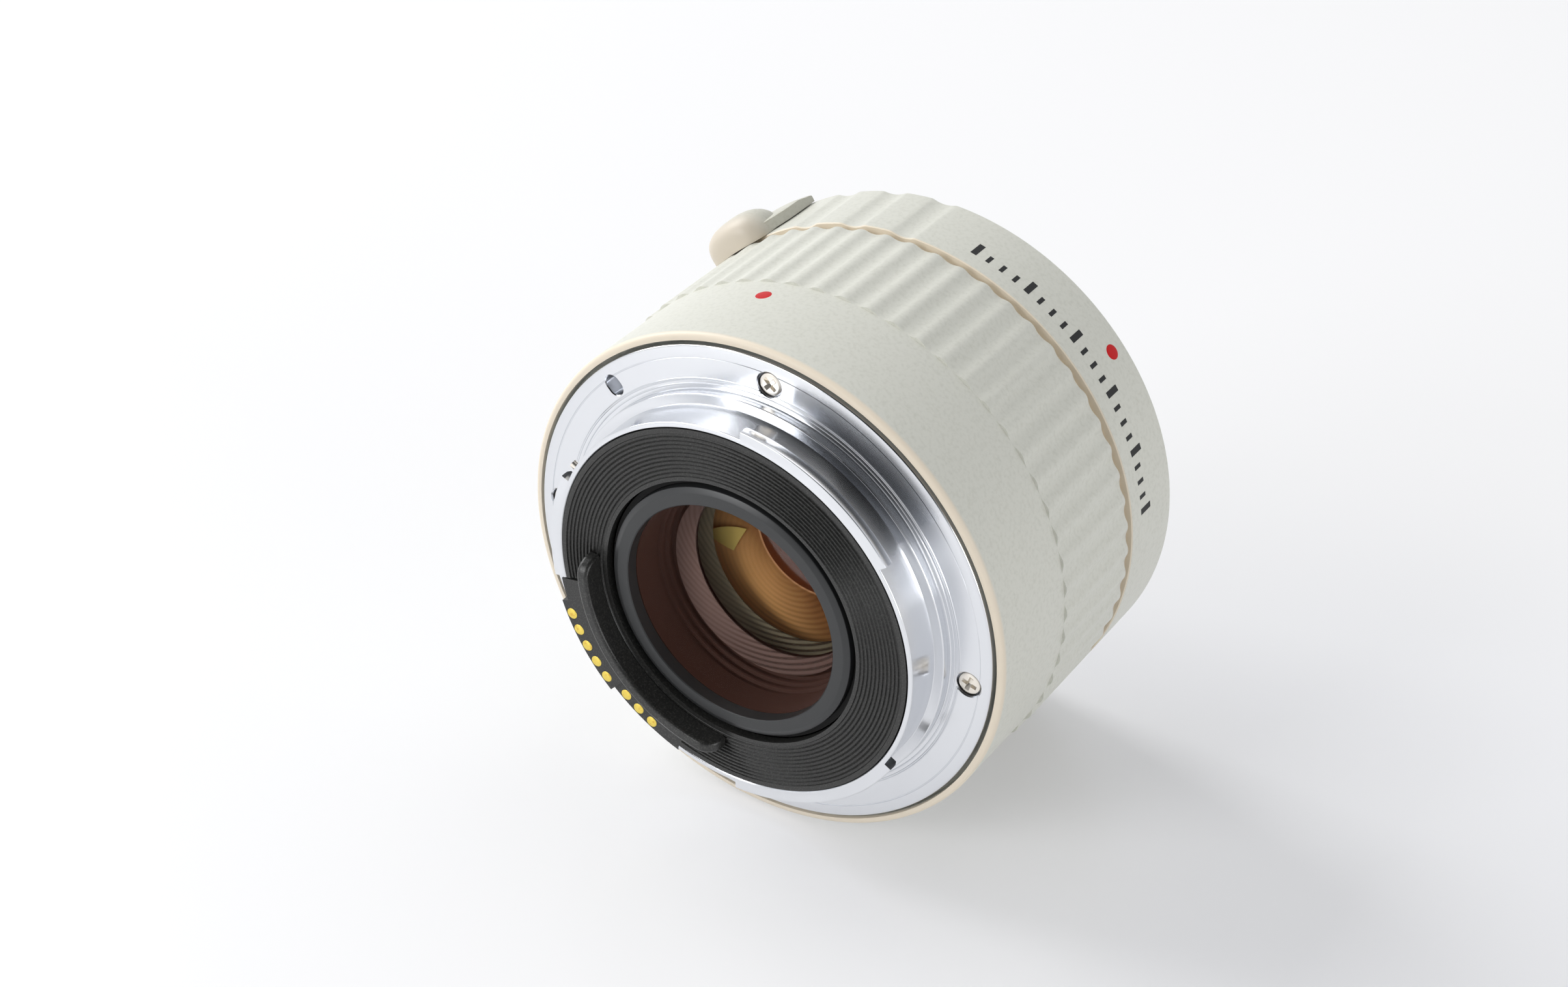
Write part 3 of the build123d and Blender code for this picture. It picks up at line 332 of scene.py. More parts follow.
@dataclass(frozen=True)
class CoatedGlass(Finish):
    """Optical glass under an anti-reflection coating, drawn as a thin tinted film.

    The tint runs from colour to far_colour across the glass, painted light and shade of the view through
    it. A pupil is a darker disc of painted shade with a thin painted highlight round it, and the stripes
    are a painted reflection of the tube's fine rings.
    """

    name: str = "coated_glass"
    colour: str = "5A4634"
    far_colour: str = "5A4634"
    roughness: float = 0.06
    ior: float = 1.6
    cover: float = 0.03
    near: float = -8.0
    far: float = 8.0
    haze: float = 3.0
    clear_place: Point = (0.0, 0.0)
    clear_radius: float = 0.0
    clear_edge: float = 0.15
    # the pupil is painted shade, and the line round it a painted highlight
    pupil_place: Point = (0.0, 0.0)
    pupil_radius: float = 0.0
    pupil_shade: str = "5A2A10"
    pupil_edge: float = 0.12
    pupil_highlight: str = "D09A6C"
    line_rise: Point = (-0.1, 0.05)
    line_fall: Point = (0.4, 0.1)
    # the stripes are a painted reflection of the tube's fine rings
    stripe_pitch: float = 0.0
    stripe_centre: Point = (0.0, 0.0)
    stripe_way: Place = (0.83, 0.0, -0.56)
    stripe_from: float = -2.0
    stripe_to: float = 7.0
    stripe_share: float = 0.5
    stripe_reflection: str = "2A160E"

    def detail(self, web: Web) -> None:
        """Grades the coating's tint across the glass as painted light and shade, and its cover."""
        lean = math.sqrt(0.5)
        across = web.measure("DOT_PRODUCT", web.place, (lean, 0.0, lean))
        shift = web.maths("MULTIPLY_ADD", web.noise(self.haze, 1.0), 2.0 * MM, across)
        share = web.spread(shift, (self.near + 1.0) * MM, (self.far + 1.0) * MM)
        # painted light and shade: the tint grades from light to dark across the glass
        colour = web.tint(share, self.colour, self.far_colour)
        if self.pupil_radius:
            colour = self.pupil(web, colour)
        if self.stripe_pitch:
            colour = self.stripes(web, colour)
        web.feed("Base Color", colour)
        web.feed("Alpha", self.cover)
        if self.clear_radius:
            first, last = (self.clear_radius - self.clear_edge) * MM, (self.clear_radius + self.clear_edge) * MM
            web.feed("Alpha", web.spread(self.away(web, self.clear_place), first, last, 0.0, self.cover))

    def pupil(self, web: Web, colour: Socket) -> Socket:
        """Paints the darker disc of painted shade and its pale line, a painted highlight, over a colour."""
        away, radius, edge = self.away(web, self.pupil_place), self.pupil_radius, self.pupil_edge
        inside = web.spread(away, (radius + edge) * MM, (radius - edge) * MM)
        colour = web.tint(inside, colour, self.pupil_shade)
        near, past = [web.spread(away, (radius + first) * MM, (radius + last) * MM)
                      for first, last in (self.line_rise, self.line_fall)]
        return web.tint(web.maths("MULTIPLY", near, past), colour, self.pupil_highlight)

    def stripes(self, web: Web, colour: Socket) -> Socket:
        """Draws a painted reflection of fine rings over a colour, stronger towards one side."""
        turns = web.maths("MULTIPLY", self.away(web, self.stripe_centre), 2.0 * math.pi / (self.stripe_pitch * MM))
        towards = web.measure("DOT_PRODUCT", web.place, self.stripe_way)
        strength = web.spread(towards, self.stripe_from * MM, self.stripe_to * MM, self.stripe_share * 0.25,
                              self.stripe_share)
        stripe = web.maths("MULTIPLY", web.spread(web.maths("SINE", turns), -0.6, 0.9), strength)
        return web.tint(stripe, colour, self.stripe_reflection)

    def away(self, web: Web, centre: Point) -> Socket:
        """The distance from a line along the axis through a place given in millimetres."""
        flat = web.add("VectorMath", {0: web.place, 1: (1.0, 0.0, 1.0)}, operation="MULTIPLY").outputs["Vector"]
        return web.measure("DISTANCE", flat, (centre[0] * MM, 0.0, centre[1] * MM))


@dataclass(frozen=True)
class Board(Finish):
    """Glass-epoxy circuit board under green solder resist, or a polyimide film."""

    name: str = "solder_resist"
    colour: str = "1E6B3C"
    track: str = "2C8A52"
    roughness: float = 0.35
    pitch: float = 0.9

    def detail(self, web: Web) -> None:
        """Shows the copper tracks through the resist."""
        tracks = web.spread(web.rings(self.pitch, Distortion=0.0), 0.45, 0.55)
        web.feed("Base Color", web.tint(tracks, self.colour, self.track))


@dataclass(frozen=True)
class Table(Finish):
    """The white sheet that the part lies on: smooth acrylic, seen as white by the camera."""

    name: str = "white_table"
    colour: str = "F4F4F6"
    roughness: float = 0.25
    shade_place: Place = (0.070, 0.036, -0.0343)
    shade_glow: float = 0.05
    shade_from: float = 0.02
    shade_to: float = 0.10
    glow: float = 0.50
    glow_from: float = 0.12
    glow_to: float = 0.45

    def detail(self, web: Web) -> None:
        """Lifts the sheet towards white for the camera and for mirrors with a painted glow that is weakest round the
        shadow's place, so the shadow there is deepened as painted shade.
        """
        path = web.add("LightPath").outputs
        seen = web.maths("MAXIMUM", path["Is Camera Ray"], path["Is Glossy Ray"])
        seen = web.maths("MAXIMUM", seen, path["Is Transmission Ray"])
        # painted glow: weakest round the shadow's place, which deepens the shadow there as painted shade, and strongest
        # far from it
        away = web.measure("DISTANCE", web.place, self.shade_place)
        near = web.spread(away, self.shade_from, self.shade_to, self.shade_glow, self.glow)
        grown = web.maths("MAXIMUM", near, web.spread(away, self.glow_from, self.glow_to))
        white = web.add("Emission", {"Color": linear("FFFFFF"), "Strength": 1.0}).outputs["Emission"]
        web.surface = web.add("MixShader", {0: web.maths("MULTIPLY", seen, grown), 1: web.surface,
                                            2: white}).outputs["Shader"]


def polar(radius: float, angle: float, along: float, across: float = 0.0) -> Vector:
    """A point out from the axis at an angle, then across, from millimetres to metres."""
    turned = math.radians(angle)
    return Vector((radius * math.cos(turned) - across * math.sin(turned), along,
                   radius * math.sin(turned) + across * math.cos(turned))) * MM


def crisp(bm: bmesh.types.BMesh, sharp: float) -> None:
    """Shades faces smooth and keeps the corners of more than this many degrees."""
    limit = math.radians(sharp)
    for face in bm.faces:
        face.smooth = True
    for edge in bm.edges:
        if len(edge.link_faces) == 2:
            edge.smooth = edge.calc_face_angle(0.0) < limit


def finish_mesh(name: str, bm: bmesh.types.BMesh, sharp: float = SHARP) -> Piece:
    """Turns a bmesh into a smooth object whose corners of more than sharp degrees stay crisp."""
    bmesh.ops.recalc_face_normals(bm, faces=bm.faces)
    crisp(bm, sharp)
    mesh = bpy.data.meshes.new(name)
    bm.to_mesh(mesh)
    bm.free()
    made = bpy.data.objects.new(name, mesh)
    bpy.context.scene.collection.objects.link(made)
    return made


def loft(name: str, rings: Sequence[Sequence[Vector]], sharp: float = SHARP, whole: bool = False,
         bands: Optional[Sequence[int]] = None, merge: float = 0.0) -> Piece:
    """Skins a row of closed rings of points.

    Args:
        name: the object's name.
        rings: the rings, in metres, all with as many points.
        sharp: corners of more than this many degrees stay crisp.
        whole: joins the last ring to the first; otherwise a flat face closes each end.
        bands: the material number of the band after each point.
        merge: points closer than this, in metres, become one.

    Returns:
        The object.
    """
    bm = bmesh.new()
    rows = [[bm.verts.new(point) for point in ring] for ring in rings]
    for here, after in zip(rows, rows[1:] + rows[:1] if whole else rows[1:]):
        for place in range(len(here)):
            following = (place + 1) % len(here)
            face = bm.faces.new((here[place], after[place], after[following], here[following]))
            face.material_index = bands[place] if bands else 0
    if not whole:
        bm.faces.new(rows[0])
        bm.faces.new(rows[-1][::-1])
    if merge:
        bmesh.ops.remove_doubles(bm, verts=bm.verts, dist=merge)
    return finish_mesh(name, bm, sharp)


def lathe(name: str, profile: Profile, steps: int = 360, shape: Optional[Callable[[float, float, float], float]] = None,
          sharp: float = SHARP, bands: Optional[Sequence[int]] = None, sweep: Point = (0.0, 360.0)) -> Piece:
    """Turns a closed profile about the optical axis, all the way or through a part of the turn.

    Args:
        name: the object's name.
        profile: corners of radius and place along the axis, in millimetres.
        steps: how many steps the turn has.
        shape: changes a radius by (radius, place, angle), for ribs and grooves.
        sharp: corners of more than this many degrees stay crisp.
        bands: the material number of the band after each corner.
        sweep: the first and last angle.

    Returns:
        The object.
    """
    whole = sweep[1] - sweep[0] > 359.99
    rings = []
    for number in range(steps if whole else steps + 1):
        angle = sweep[0] + (sweep[1] - sweep[0]) * number / steps
        rings.append([polar(shape(radius, along, angle) if shape else radius, angle, along)
                      for radius, along in profile])
    return loft(name, rings, sharp, whole, bands)


def dome(name: str, profile: Profile, steps: int = 240, sharp: float = SHARP) -> Piece:
    """Turns an open profile that starts on the optical axis, such as a lens.

    Args:
        name: the object's name.
        profile: corners of radius and place along the axis. The first has radius zero. If the last has
            too, the mesh is closed, and otherwise it is one surface with an open rim.
        steps: how many steps the turn has.
        sharp: corners of more than this many degrees stay crisp.

    Returns:
        The object.
    """
    bm = bmesh.new()
    closed = profile[-1][0] == 0.0
    first = bm.verts.new(polar(0.0, 0.0, profile[0][1]))
    last = bm.verts.new(polar(0.0, 0.0, profile[-1][1])) if closed else None
    rows = [[bm.verts.new(polar(radius, 360.0 * number / steps, along))
             for radius, along in (profile[1:-1] if closed else profile[1:])] for number in range(steps)]
    for here, after in zip(rows, rows[1:] + rows[:1]):
        bm.faces.new((first, after[0], here[0]))
        if closed:
            bm.faces.new((last, here[-1], after[-1]))
        for place in range(len(here) - 1):
            bm.faces.new((here[place], after[place], after[place + 1], here[place + 1]))
    return finish_mesh(name, bm, sharp)


def bead(centre: float, along: float, width: float, height: float, steps: int = 4) -> list[Point]:
    """A rounded bead's corners on a face that looks along -Y, from its outer side to its inner side."""
    return [(centre + width / 2 * math.cos(math.pi * k / steps), along - height * math.sin(math.pi * k / steps))
            for k in range(steps + 1)]


def bowl(radius: float, rim: float, sag: float, steps: int = 14) -> list[Point]:
    """A spherical profile from the axis to its rim, with its vertex towards -Y from the rim by the sag."""
    ball = (radius ** 2 + sag ** 2) / (2 * abs(sag))
    side = math.copysign(1.0, sag)
    return [(radius * k / steps, rim - sag + side * (ball - math.sqrt(ball ** 2 - (radius * k / steps) ** 2)))
            for k in range(steps + 1)]


def rounded(corner: Point, start: Point, end: Point, steps: int = 5) -> list[Point]:
    """A quadratic curve from start to end that rounds a corner, with both ends."""
    shares = [number / steps for number in range(steps + 1)]
    return [tuple((1 - t) ** 2 * start[k] + 2 * t * (1 - t) * corner[k] + t ** 2 * end[k] for k in (0, 1))
            for t in shares]


def rod(name: str, radius: float, start: float, end: float, place_radius: float, angle: float,
        far_radius: Optional[float] = None, steps: int = 48) -> Piece:
    """A closed rod parallel to the axis, used as a cutting tool.

    Args:
        name: the object's name.
        radius: the rod's radius in millimetres.
        start: where it begins along the axis.
        end: where it ends.
        place_radius: how far from the optical axis it stands.
        angle: at which angle it stands.
        far_radius: its radius at the end, where it tapers.
        steps: its corners.

    Returns:
        The rod.
    """
    centre = polar(place_radius, angle, 0.0)
    return loft(name, [[centre + polar(reach, 360.0 * k / steps, along) for k in range(steps)]
                       for along, reach in ((start, radius), (end, far_radius or radius))])


def cut(piece: Piece, tools: Sequence[Piece]) -> Piece:
    """Cuts closed meshes out of a piece, deletes them and gives back the piece."""
    for tool in tools:
        modifier = piece.modifiers.new("cut", "BOOLEAN")
        modifier.operation = "DIFFERENCE"
        modifier.solver = "EXACT"
        modifier.object = tool
    bpy.context.view_layer.update()
    graph = bpy.context.evaluated_depsgraph_get()
    mesh = bpy.data.meshes.new_from_object(piece.evaluated_get(graph))
    piece.modifiers.clear()
    old = piece.data
    piece.data = mesh
    bpy.data.meshes.remove(old)
    for tool in tools:
        data = tool.data
        bpy.data.objects.remove(tool)
        bpy.data.meshes.remove(data)
    bm = bmesh.new()
    bm.from_mesh(mesh)
    crisp(bm, SHARP)
    bm.to_mesh(mesh)
    bm.free()
    return piece


def wear(piece: Piece, *materials: Material) -> Piece:
    """Gives a piece its materials in order."""
    piece.data.materials.clear()
    for material in materials:
        piece.data.materials.append(material)
    return piece


def settle(piece: Piece, slot: str, *materials: Material, node: str = "", body: str = "body") -> None:
    """Dresses a piece, hangs it on its body and hides the CAD node that it stands for.

    Args:
        piece: the piece.
        slot: the record's material slot; not used.
        materials: its finishes; none when it already wears them.
        node: the CAD node that it stands for, if any.
        body: the body that it rides on.
    """
    if materials:
        wear(piece, *materials)
    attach(piece, body)
    if node:
        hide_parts(node)
    log.info("made %s", piece.name)


@dataclass
class Studio:
    """The white table, the lamps, the world and the camera at the photograph's angle."""

    eye: Place = (0.14326, -0.20991, 0.18703)
    right: Place = (0.8330, 0.5532, 0.0)
    down: Place = (0.3115, -0.4690, -0.8264)
    focal: float = 60.07
    sensor: float = 36.0
    table_half: float = 3.0
    aim: Place = (0.0, 0.02, 0.0)
    room_colour: str = "A9AAAC"
    seen_colour: str = "E6E8EC"
    dark_colour: str = "0C0C0C"
    dark_way: Place = (0.20, -0.51, 0.84)
    dark_inner: float = 34.0
    dark_outer: float = 66.0

    def build(self) -> None:
        """Makes the camera, the table, the lamps and the world."""
        self.camera()
        self.table()
        self.lamp(Light.KEY, (-0.80, 0.05, 0.55), 0.70, 6.8)
        self.lamp(Light.TOP, (0.10, 0.35, 0.90), 0.60, 1.2)
        self.lamp(Light.FRONT, (-0.50, -0.95, 0.45), 0.50, 4.8)
        self.lamp(Light.SIDE, (1.10, -0.20, 0.17), 0.50, 3.2)
        self.world()

    def camera(self) -> None:
        """Places the camera where the photograph was taken from."""
        data = bpy.data.cameras.new("photo_camera")
        data.lens = self.focal
        data.sensor_width = self.sensor
        data.clip_start, data.clip_end = 0.01, 20.0
        camera = bpy.data.objects.new("photo_camera", data)
        bpy.context.scene.collection.objects.link(camera)
        right = Vector(self.right).normalized()
        up = -Vector(self.down).normalized()
        turn = Matrix((right, up, right.cross(up))).transposed().to_4x4()
        camera.matrix_world = Matrix.Translation(self.eye) @ turn
        bpy.context.scene.camera = camera

    def table(self) -> None:
        """Lays the table under the barrel's lowest point."""
        bm = bmesh.new()
        half = self.table_half
        bm.faces.new([bm.verts.new((x, y, CAD_BOX[0][2]))
                      for x, y in ((-half, -half), (half, -half), (half, half), (-half, half))])
        wear(finish_mesh("table", bm), Table().make())

    def lamp(self, job: Light, place: Place, size: float, power: float) -> None:
        """Hangs one softbox, with its place and size in metres and its power in watts."""
        data = bpy.data.lights.new(job.value, "AREA")
        data.shape, data.size, data.energy = "SQUARE", size, power
        lamp = bpy.data.objects.new(job.value, data)
        bpy.context.scene.collection.objects.link(lamp)
        lamp.location = place
        lamp.rotation_euler = (Vector(self.aim) - Vector(place)).to_track_quat("-Z", "Y").to_euler()

    def world(self) -> None:
        """A pale room with a dark side behind the camera, which only polished metal shows."""
        world = bpy.data.worlds.new("grey_room")
        bpy.context.scene.world = world
        world.use_nodes = True
        web = Web(world.node_tree)
        path = web.add("LightPath").outputs
        lean = web.measure("DOT_PRODUCT", web.add("TexCoord").outputs["Generated"], self.dark_way)
        outer, inner = [math.cos(math.radians(angle)) for angle in (self.dark_outer, self.dark_inner)]
        seen = web.tint(web.spread(lean, outer, inner), self.seen_colour, self.dark_colour)
        colour = web.tint(path["Is Glossy Ray"], self.room_colour, seen)
        room = web.add("Background", {"Color": colour, "Strength": 1.0}).outputs["Background"]
        white = web.add("Background", {"Color": linear("FFFFFF"), "Strength": 1.0}).outputs["Background"]
        mixed = web.add("MixShader", {0: path["Is Camera Ray"], 1: room, 2: white}).outputs["Shader"]
        web.add("OutputWorld", {"Surface": mixed})


@dataclass
class LongShell:
    """The long painted shell: rounded rear rim, smooth part and sixty grip ribs."""

    rim: float = 0.2
    rim_round: float = 0.7
    smooth_radius: float = 33.92
    crest_radius: float = 34.3
    rib_height: float = 0.38
    rib_count: int = 60
    rib_first: float = 2.0
    crest_share: float = 0.4
    rib_start: float = 14.65
    rib_end: float = 30.35
    rib_lead: float = 0.12
    end_round: float = 0.18
    end_slope: float = 0.05
    pocket_radius: float = 33.0
    pocket_end: float = 2.2
    bore: float = 31.9
    room_radius: float = 33.2
    room_start: float = 28.3
    smooth_stations: tuple[float, ...] = (4.0, 8.0, 12.0)
    rib_stations: tuple[float, ...] = (16.0, 20.0, 24.0, 28.0)
    steps_per_rib: int = 16

    def rib_radius(self, angle: float) -> float:
        """The ribbed outline's radius at an angle: round crests between wider round valleys."""
        phase = ((angle - self.rib_first) * self.rib_count / 360.0) % 1.0
        phase = min(phase, 1.0 - phase)
        half = self.crest_share / 2
        if phase < half:
            return self.crest_radius - self.rib_height * self.crest_share * (phase / half) ** 2
        rest = 1.0 - self.crest_share
        return self.crest_radius - self.rib_height + self.rib_height * rest * ((0.5 - phase) / (0.5 - half)) ** 2

    def shape(self, radius: float, along: float, angle: float) -> float:
        """Raises the ribs where the profile marks them."""
        if radius < self.smooth_radius + 0.001:
            return radius
        return self.rib_radius(angle) - (self.crest_radius - radius)

    def build(self, paint: Material) -> None:
        """Makes the shell in its paint."""
        smooth, rim, round_ = self.smooth_radius, self.rim, self.rim_round
        crest, end = self.crest_radius, self.rib_end
        profile = [(self.pocket_radius, rim)]
        profile += rounded((smooth, rim), (smooth - round_, rim), (smooth, rim + round_), 8)
        profile += [(smooth, along) for along in (*self.smooth_stations, self.rib_start - self.rib_lead)]
        profile += [(smooth, self.rib_start), (crest, self.rib_start + 0.02)]
        profile += [(crest, along) for along in (*self.rib_stations, end - self.end_round)]
        profile += [(crest - self.end_slope, end - self.end_slope), (crest - self.end_round, end)]
        profile += [(self.room_radius, end), (self.room_radius, self.room_start), (self.bore, self.room_start)]
        profile += [(self.bore, self.pocket_end), (self.pocket_radius, self.pocket_end)]
        shell = lathe("long_shell", profile, self.rib_count * self.steps_per_rib, self.shape)
        settle(shell, "shell", paint, node="main_barrel")


@dataclass
class ShortShell:
    """The short painted shell with its three finger grooves and the lever's slot."""

    start: float = 31.3
    end: float = 41.5
    radius: float = 34.3
    edge_round: float = 0.15
    spigot_radius: float = 33.1
    spigot_start: float = 28.5
    pocket_radius: float = 33.0
    pocket_start: float = 39.7
    bore: float = 31.9
    stations: Point = (34.0, 38.0)
    groove_angles: Place = (89.5, 101.5, 113.5)
    groove_width: float = 3.3
    groove_depth: float = 0.38
    slot_angle: float = 133.3
    slot_half: float = 3.5
    slot_reach: float = 4.0
    slot_from: float = 31.8
    slot_to: float = 36.7

    def shape(self, radius: float, along: float, angle: float) -> float:
        """Presses the three finger grooves into the outside."""
        half = self.groove_width / 2
        if radius > self.radius - self.edge_round - 0.01:
            for centre in self.groove_angles:
                across = math.radians(angle - centre) * self.radius
                if abs(across) < half:
                    return radius - self.groove_depth * (1.0 - (across / half) ** 2)
        return radius

    def build(self, paint: Material, inside: Material) -> None:
        """Makes the shell in its paint, with bare plastic on its spigot and bore."""
        outer, round_ = self.radius, self.edge_round
        profile = [(self.bore, self.spigot_start), (self.spigot_radius, self.spigot_start),
                   (self.spigot_radius, self.start), (outer - round_, self.start), (outer, self.start + round_),
                   *[(outer, along) for along in self.stations], (outer, self.end - round_),
                   (outer - round_, self.end), (self.pocket_radius, self.end),
                   (self.pocket_radius, self.pocket_start), (self.bore, self.pocket_start)]
        shell = lathe("short_shell", profile, 720, self.shape, bands=[1, 1, 0, 0, 0, 0, 0, 0, 0, 0, 0, 1])
        settle(cut(shell, [self.slot_tool()]), "shell", paint, inside, node="front_barrel")

    def slot_tool(self) -> Piece:
        """The block that cuts the lever's slot."""
        bm = bmesh.new()
        bmesh.ops.create_cube(bm, size=1.0)
        middle, length = (self.slot_from + self.slot_to) / 2, self.slot_to - self.slot_from
        for vert in bm.verts:
            vert.co = polar(self.radius + vert.co.x * 2 * self.slot_reach, self.slot_angle,
                            middle + vert.co.y * length, vert.co.z * 2 * self.slot_half)
        return finish_mesh("slot_tool", bm)


@dataclass
class BayonetRing:
    """The chromed camera-side ring: seat, turned bands, register, boss, lugs and holes."""

    outer: float = 32.5
    back: float = 2.2
    edge: float = 0.25
    land_inner: float = 31.06
    land_groove: Place = (0.06, 0.14, 0.20)
    groove_depth: float = 0.10
    sunk: float = 0.03
    beads: tuple[Place, ...] = ((28.25, 0.16, 0.07), (28.04, 0.16, 0.07), (27.56, 0.20, 0.08))
    register_radius: float = 26.95
    register_depth: float = 1.4
    register_round: float = 0.18
    register_slope: Profile = ((0.03, -0.03), (0.0, -0.14))
    boss_radius: float = 25.6
    boss_bore: float = 24.9
    boss_end: float = -6.2
    boss_round: float = 0.15
    boss_chamfer: float = 0.12
    boss_foot: Profile = ((0.16, 0.0), (0.03, 0.04), (0.0, 0.16))
    boss_depth: float = 0.8
    flange_bore: float = 23.5
    lug_radius: float = 26.6
    lug_depth: float = 1.6
    lug_round: float = 0.16
    lug_taper: Point = (0.25, 0.5)
    lugs: tuple[Point, ...] = ((35.6, 85.6), (-88.4, -30.0), (155.9, 189.9))
    screw_radius: float = 29.5
    screw_angle: float = -3.5
    screw_count: int = 4
    counterbore: float = 1.64
    bore_span: Point = (-0.5, 1.6)
    mouth: float = 2.05
    mouth_span: Point = (-0.25, 0.16)
    slot_radius: float = 29.9
    slot_angle: float = 133.3
    slot_width: float = 2.1
    slot_length: float = 2.7
    slot_stations: Profile = ((-0.5, 0.33), (0.0, 0.14), (0.16, 0.0), (2.1, 0.0))
    slot_steps: int = 40
    block: Point = (-169.8, -108.2)
    block_profile: Profile = ((24.2, -7.0), (26.8, -7.0), (26.8, -1.44), (24.2, -1.44))

    def flange(self) -> tuple[list[Point], list[int]]:
        """Lays out the turned profile.

        Returns:
            The corners and the finish number of the band after each corner.
        """
        points: list[Point] = []
        bands: list[int] = []

        def strip(corners: Profile, band: int) -> None:
            """Adds corners whose bands share a finish."""
            points.extend(corners)
            bands.extend([band] * len(corners))

        low, round_, deep, register = self.sunk, self.register_round, self.register_depth, self.register_radius
        first, second, last = [self.land_inner - shift for shift in self.land_groove]
        boss, bore, end = self.boss_radius, self.boss_bore, self.boss_end
        strip([(self.flange_bore, self.back), (self.outer, self.back)], 0)
        strip(rounded((self.outer, 0.0), (self.outer, self.edge), (self.outer - self.edge, 0.0)), 0)
        strip([(self.land_inner, 0.0), (first, self.groove_depth), (second, self.groove_depth)], 0)
        strip([(last, low)], 1)
        for centre, width, height in self.beads:
            strip(bead(centre, low, width, height)[:-1], 0)
            strip(bead(centre, low, width, height)[-1:], 1)
        strip([(register + 0.14, low), *[(register + out, along) for out, along in self.register_slope]], 1)
        strip(rounded((register, -deep), (register, round_ - deep), (register - round_, -deep)), 0)
        strip([(register - round_ - 0.01, -deep), *[(boss + out, -deep - up) for out, up in self.boss_foot]], 1)
        strip(rounded((boss, end), (boss, end + self.boss_round), (boss - self.boss_round, end)), 0)
        strip([(bore + self.boss_chamfer, end), (bore, end + self.boss_chamfer), (bore, self.boss_depth),
               (self.flange_bore, self.boss_depth)], 0)
        return points, bands

    def build(self, polished: Material, turned: Material) -> None:
        """Makes the ring and its lugs.

        Args:
            polished: the finish of the lands, beads and rims.
            turned: the finish of the bands between them.
        """
        points, bands = self.flange()
        ring = wear(lathe("bayonet_ring", points, 720, bands=bands), polished, turned)
        tools = []
        for number in range(self.screw_count):
            angle = self.screw_angle + 360.0 * number / self.screw_count
            tools.append(rod(f"bore_tool_{number}", self.counterbore, *self.bore_span, self.screw_radius, angle))
            tools.append(rod(f"mouth_tool_{number}", self.mouth, *self.mouth_span, self.screw_radius, angle,
                             self.counterbore))
        tools.append(self.slot_tool())
        tools.append(lathe("block_tool", self.block_profile, 60, sweep=self.block))
        settle(cut(ring, tools), "mount_chrome", node="rear_mount_ring")
        for number, sweep in enumerate(self.lugs):
            self.lug(number, sweep, polished, turned)

    def lug(self, number: int, sweep: Point, polished: Material, turned: Material) -> None:
        """Makes one bayonet lug.

        Args:
            number: the lug's number.
            sweep: its first and last angle.
            polished: the finish of its face and chamfers.
            turned: the finish of its rim.
        """
        end, back = self.boss_end, self.boss_end + self.lug_depth
        inner, outer, round_ = self.boss_radius - self.boss_round, self.lug_radius, self.lug_round
        profile = [(inner, end), (outer - round_ - 0.01, end)]
        profile += rounded((outer, end), (outer - round_, end), (outer, end + round_), 4)
        profile += [(outer, back - self.lug_taper[1]), (outer - self.lug_taper[0], back), (inner, back)]
        bands = [0] * len(profile)
        bands[-4] = 1
        settle(lathe(f"bayonet_lug_{number + 1}", profile, 150, bands=bands, sweep=sweep), "mount_chrome",
               polished, turned)

    def slot_tool(self) -> Piece:
        """The rounded block that cuts the lock slot, longer along the radius."""
        half, reach = self.slot_width / 2, (self.slot_length - self.slot_width) / 2
        rings = []
        for along, extra in self.slot_stations:
            ring = []
            for k in range(self.slot_steps):
                around = 2 * math.pi * k / self.slot_steps
                out = math.copysign(reach, math.cos(around)) + (half + extra) * math.cos(around)
                ring.append(polar(self.slot_radius + out, self.slot_angle, along, (half + extra) * math.sin(around)))
            rings.append(ring)
        return loft("slot_tool", rings)


@dataclass
class MountScrews:
    """The cross-head screws in the counterbores of the bayonet ring."""

    radius: float = 1.45
    place_radius: float = 29.5
    first_angle: float = -3.5
    top: float = 0.16
    crown: float = 0.07
    crown_share: float = 0.86
    lip: Point = (0.95, 0.05)
    drop: float = 0.16
    foot: float = 1.5
    arm_half: float = 0.30
    arm_reach: float = 1.18
    blade: Profile = ((-0.2, 1.12), (0.55, 0.30))
    turns: tuple[float, ...] = (18.0, 42.0, 63.0, 5.0)

    def build(self, nickel: Material) -> None:
        """Makes the screws; the first stands for the CAD node of all four."""
        for number, turn in enumerate(self.turns):
            angle = self.first_angle + 360.0 * number / len(self.turns)
            tools = [self.cross(angle, turn + quarter) for quarter in (0.0, 90.0)]
            settle(cut(self.head(number, angle), tools), "bright_steel", nickel,
                   node="" if number else "rear_mount_screws")

    def head(self, number: int, angle: float) -> Piece:
        """Turns one pan head."""
        low = self.top + self.crown
        profile = [(0.0, self.top)]
        profile += [(self.radius * k / 8 * self.crown_share, self.top + self.crown * (k / 8) ** 2)
                    for k in range(1, 9)]
        profile += [(self.radius * self.lip[0], low + self.lip[1]), (self.radius, low + self.drop),
                    (self.radius, self.foot), (0.0, self.foot)]
        head = dome(f"mount_screw_{number + 1}", profile, 64, 40.0)
        head.data.transform(Matrix.Translation(polar(self.place_radius, angle, 0.0)))
        return head

    def cross(self, angle: float, turn: float) -> Piece:
        """Makes one tapered blade of the cross recess."""
        centre = polar(self.place_radius, angle, 0.0)
        spin = Matrix.Rotation(math.radians(turn), 4, "Y")
        rings = []
        for along, share in self.blade:
            half, reach = self.arm_half * (0.5 + share / 2), self.arm_reach * share
            rings.append([centre + spin @ (Vector((x, self.top + along, z)) * MM)
                          for x, z in ((-reach, -half), (reach, -half), (reach, half), (-reach, half))])
        return loft("cross_tool", rings)


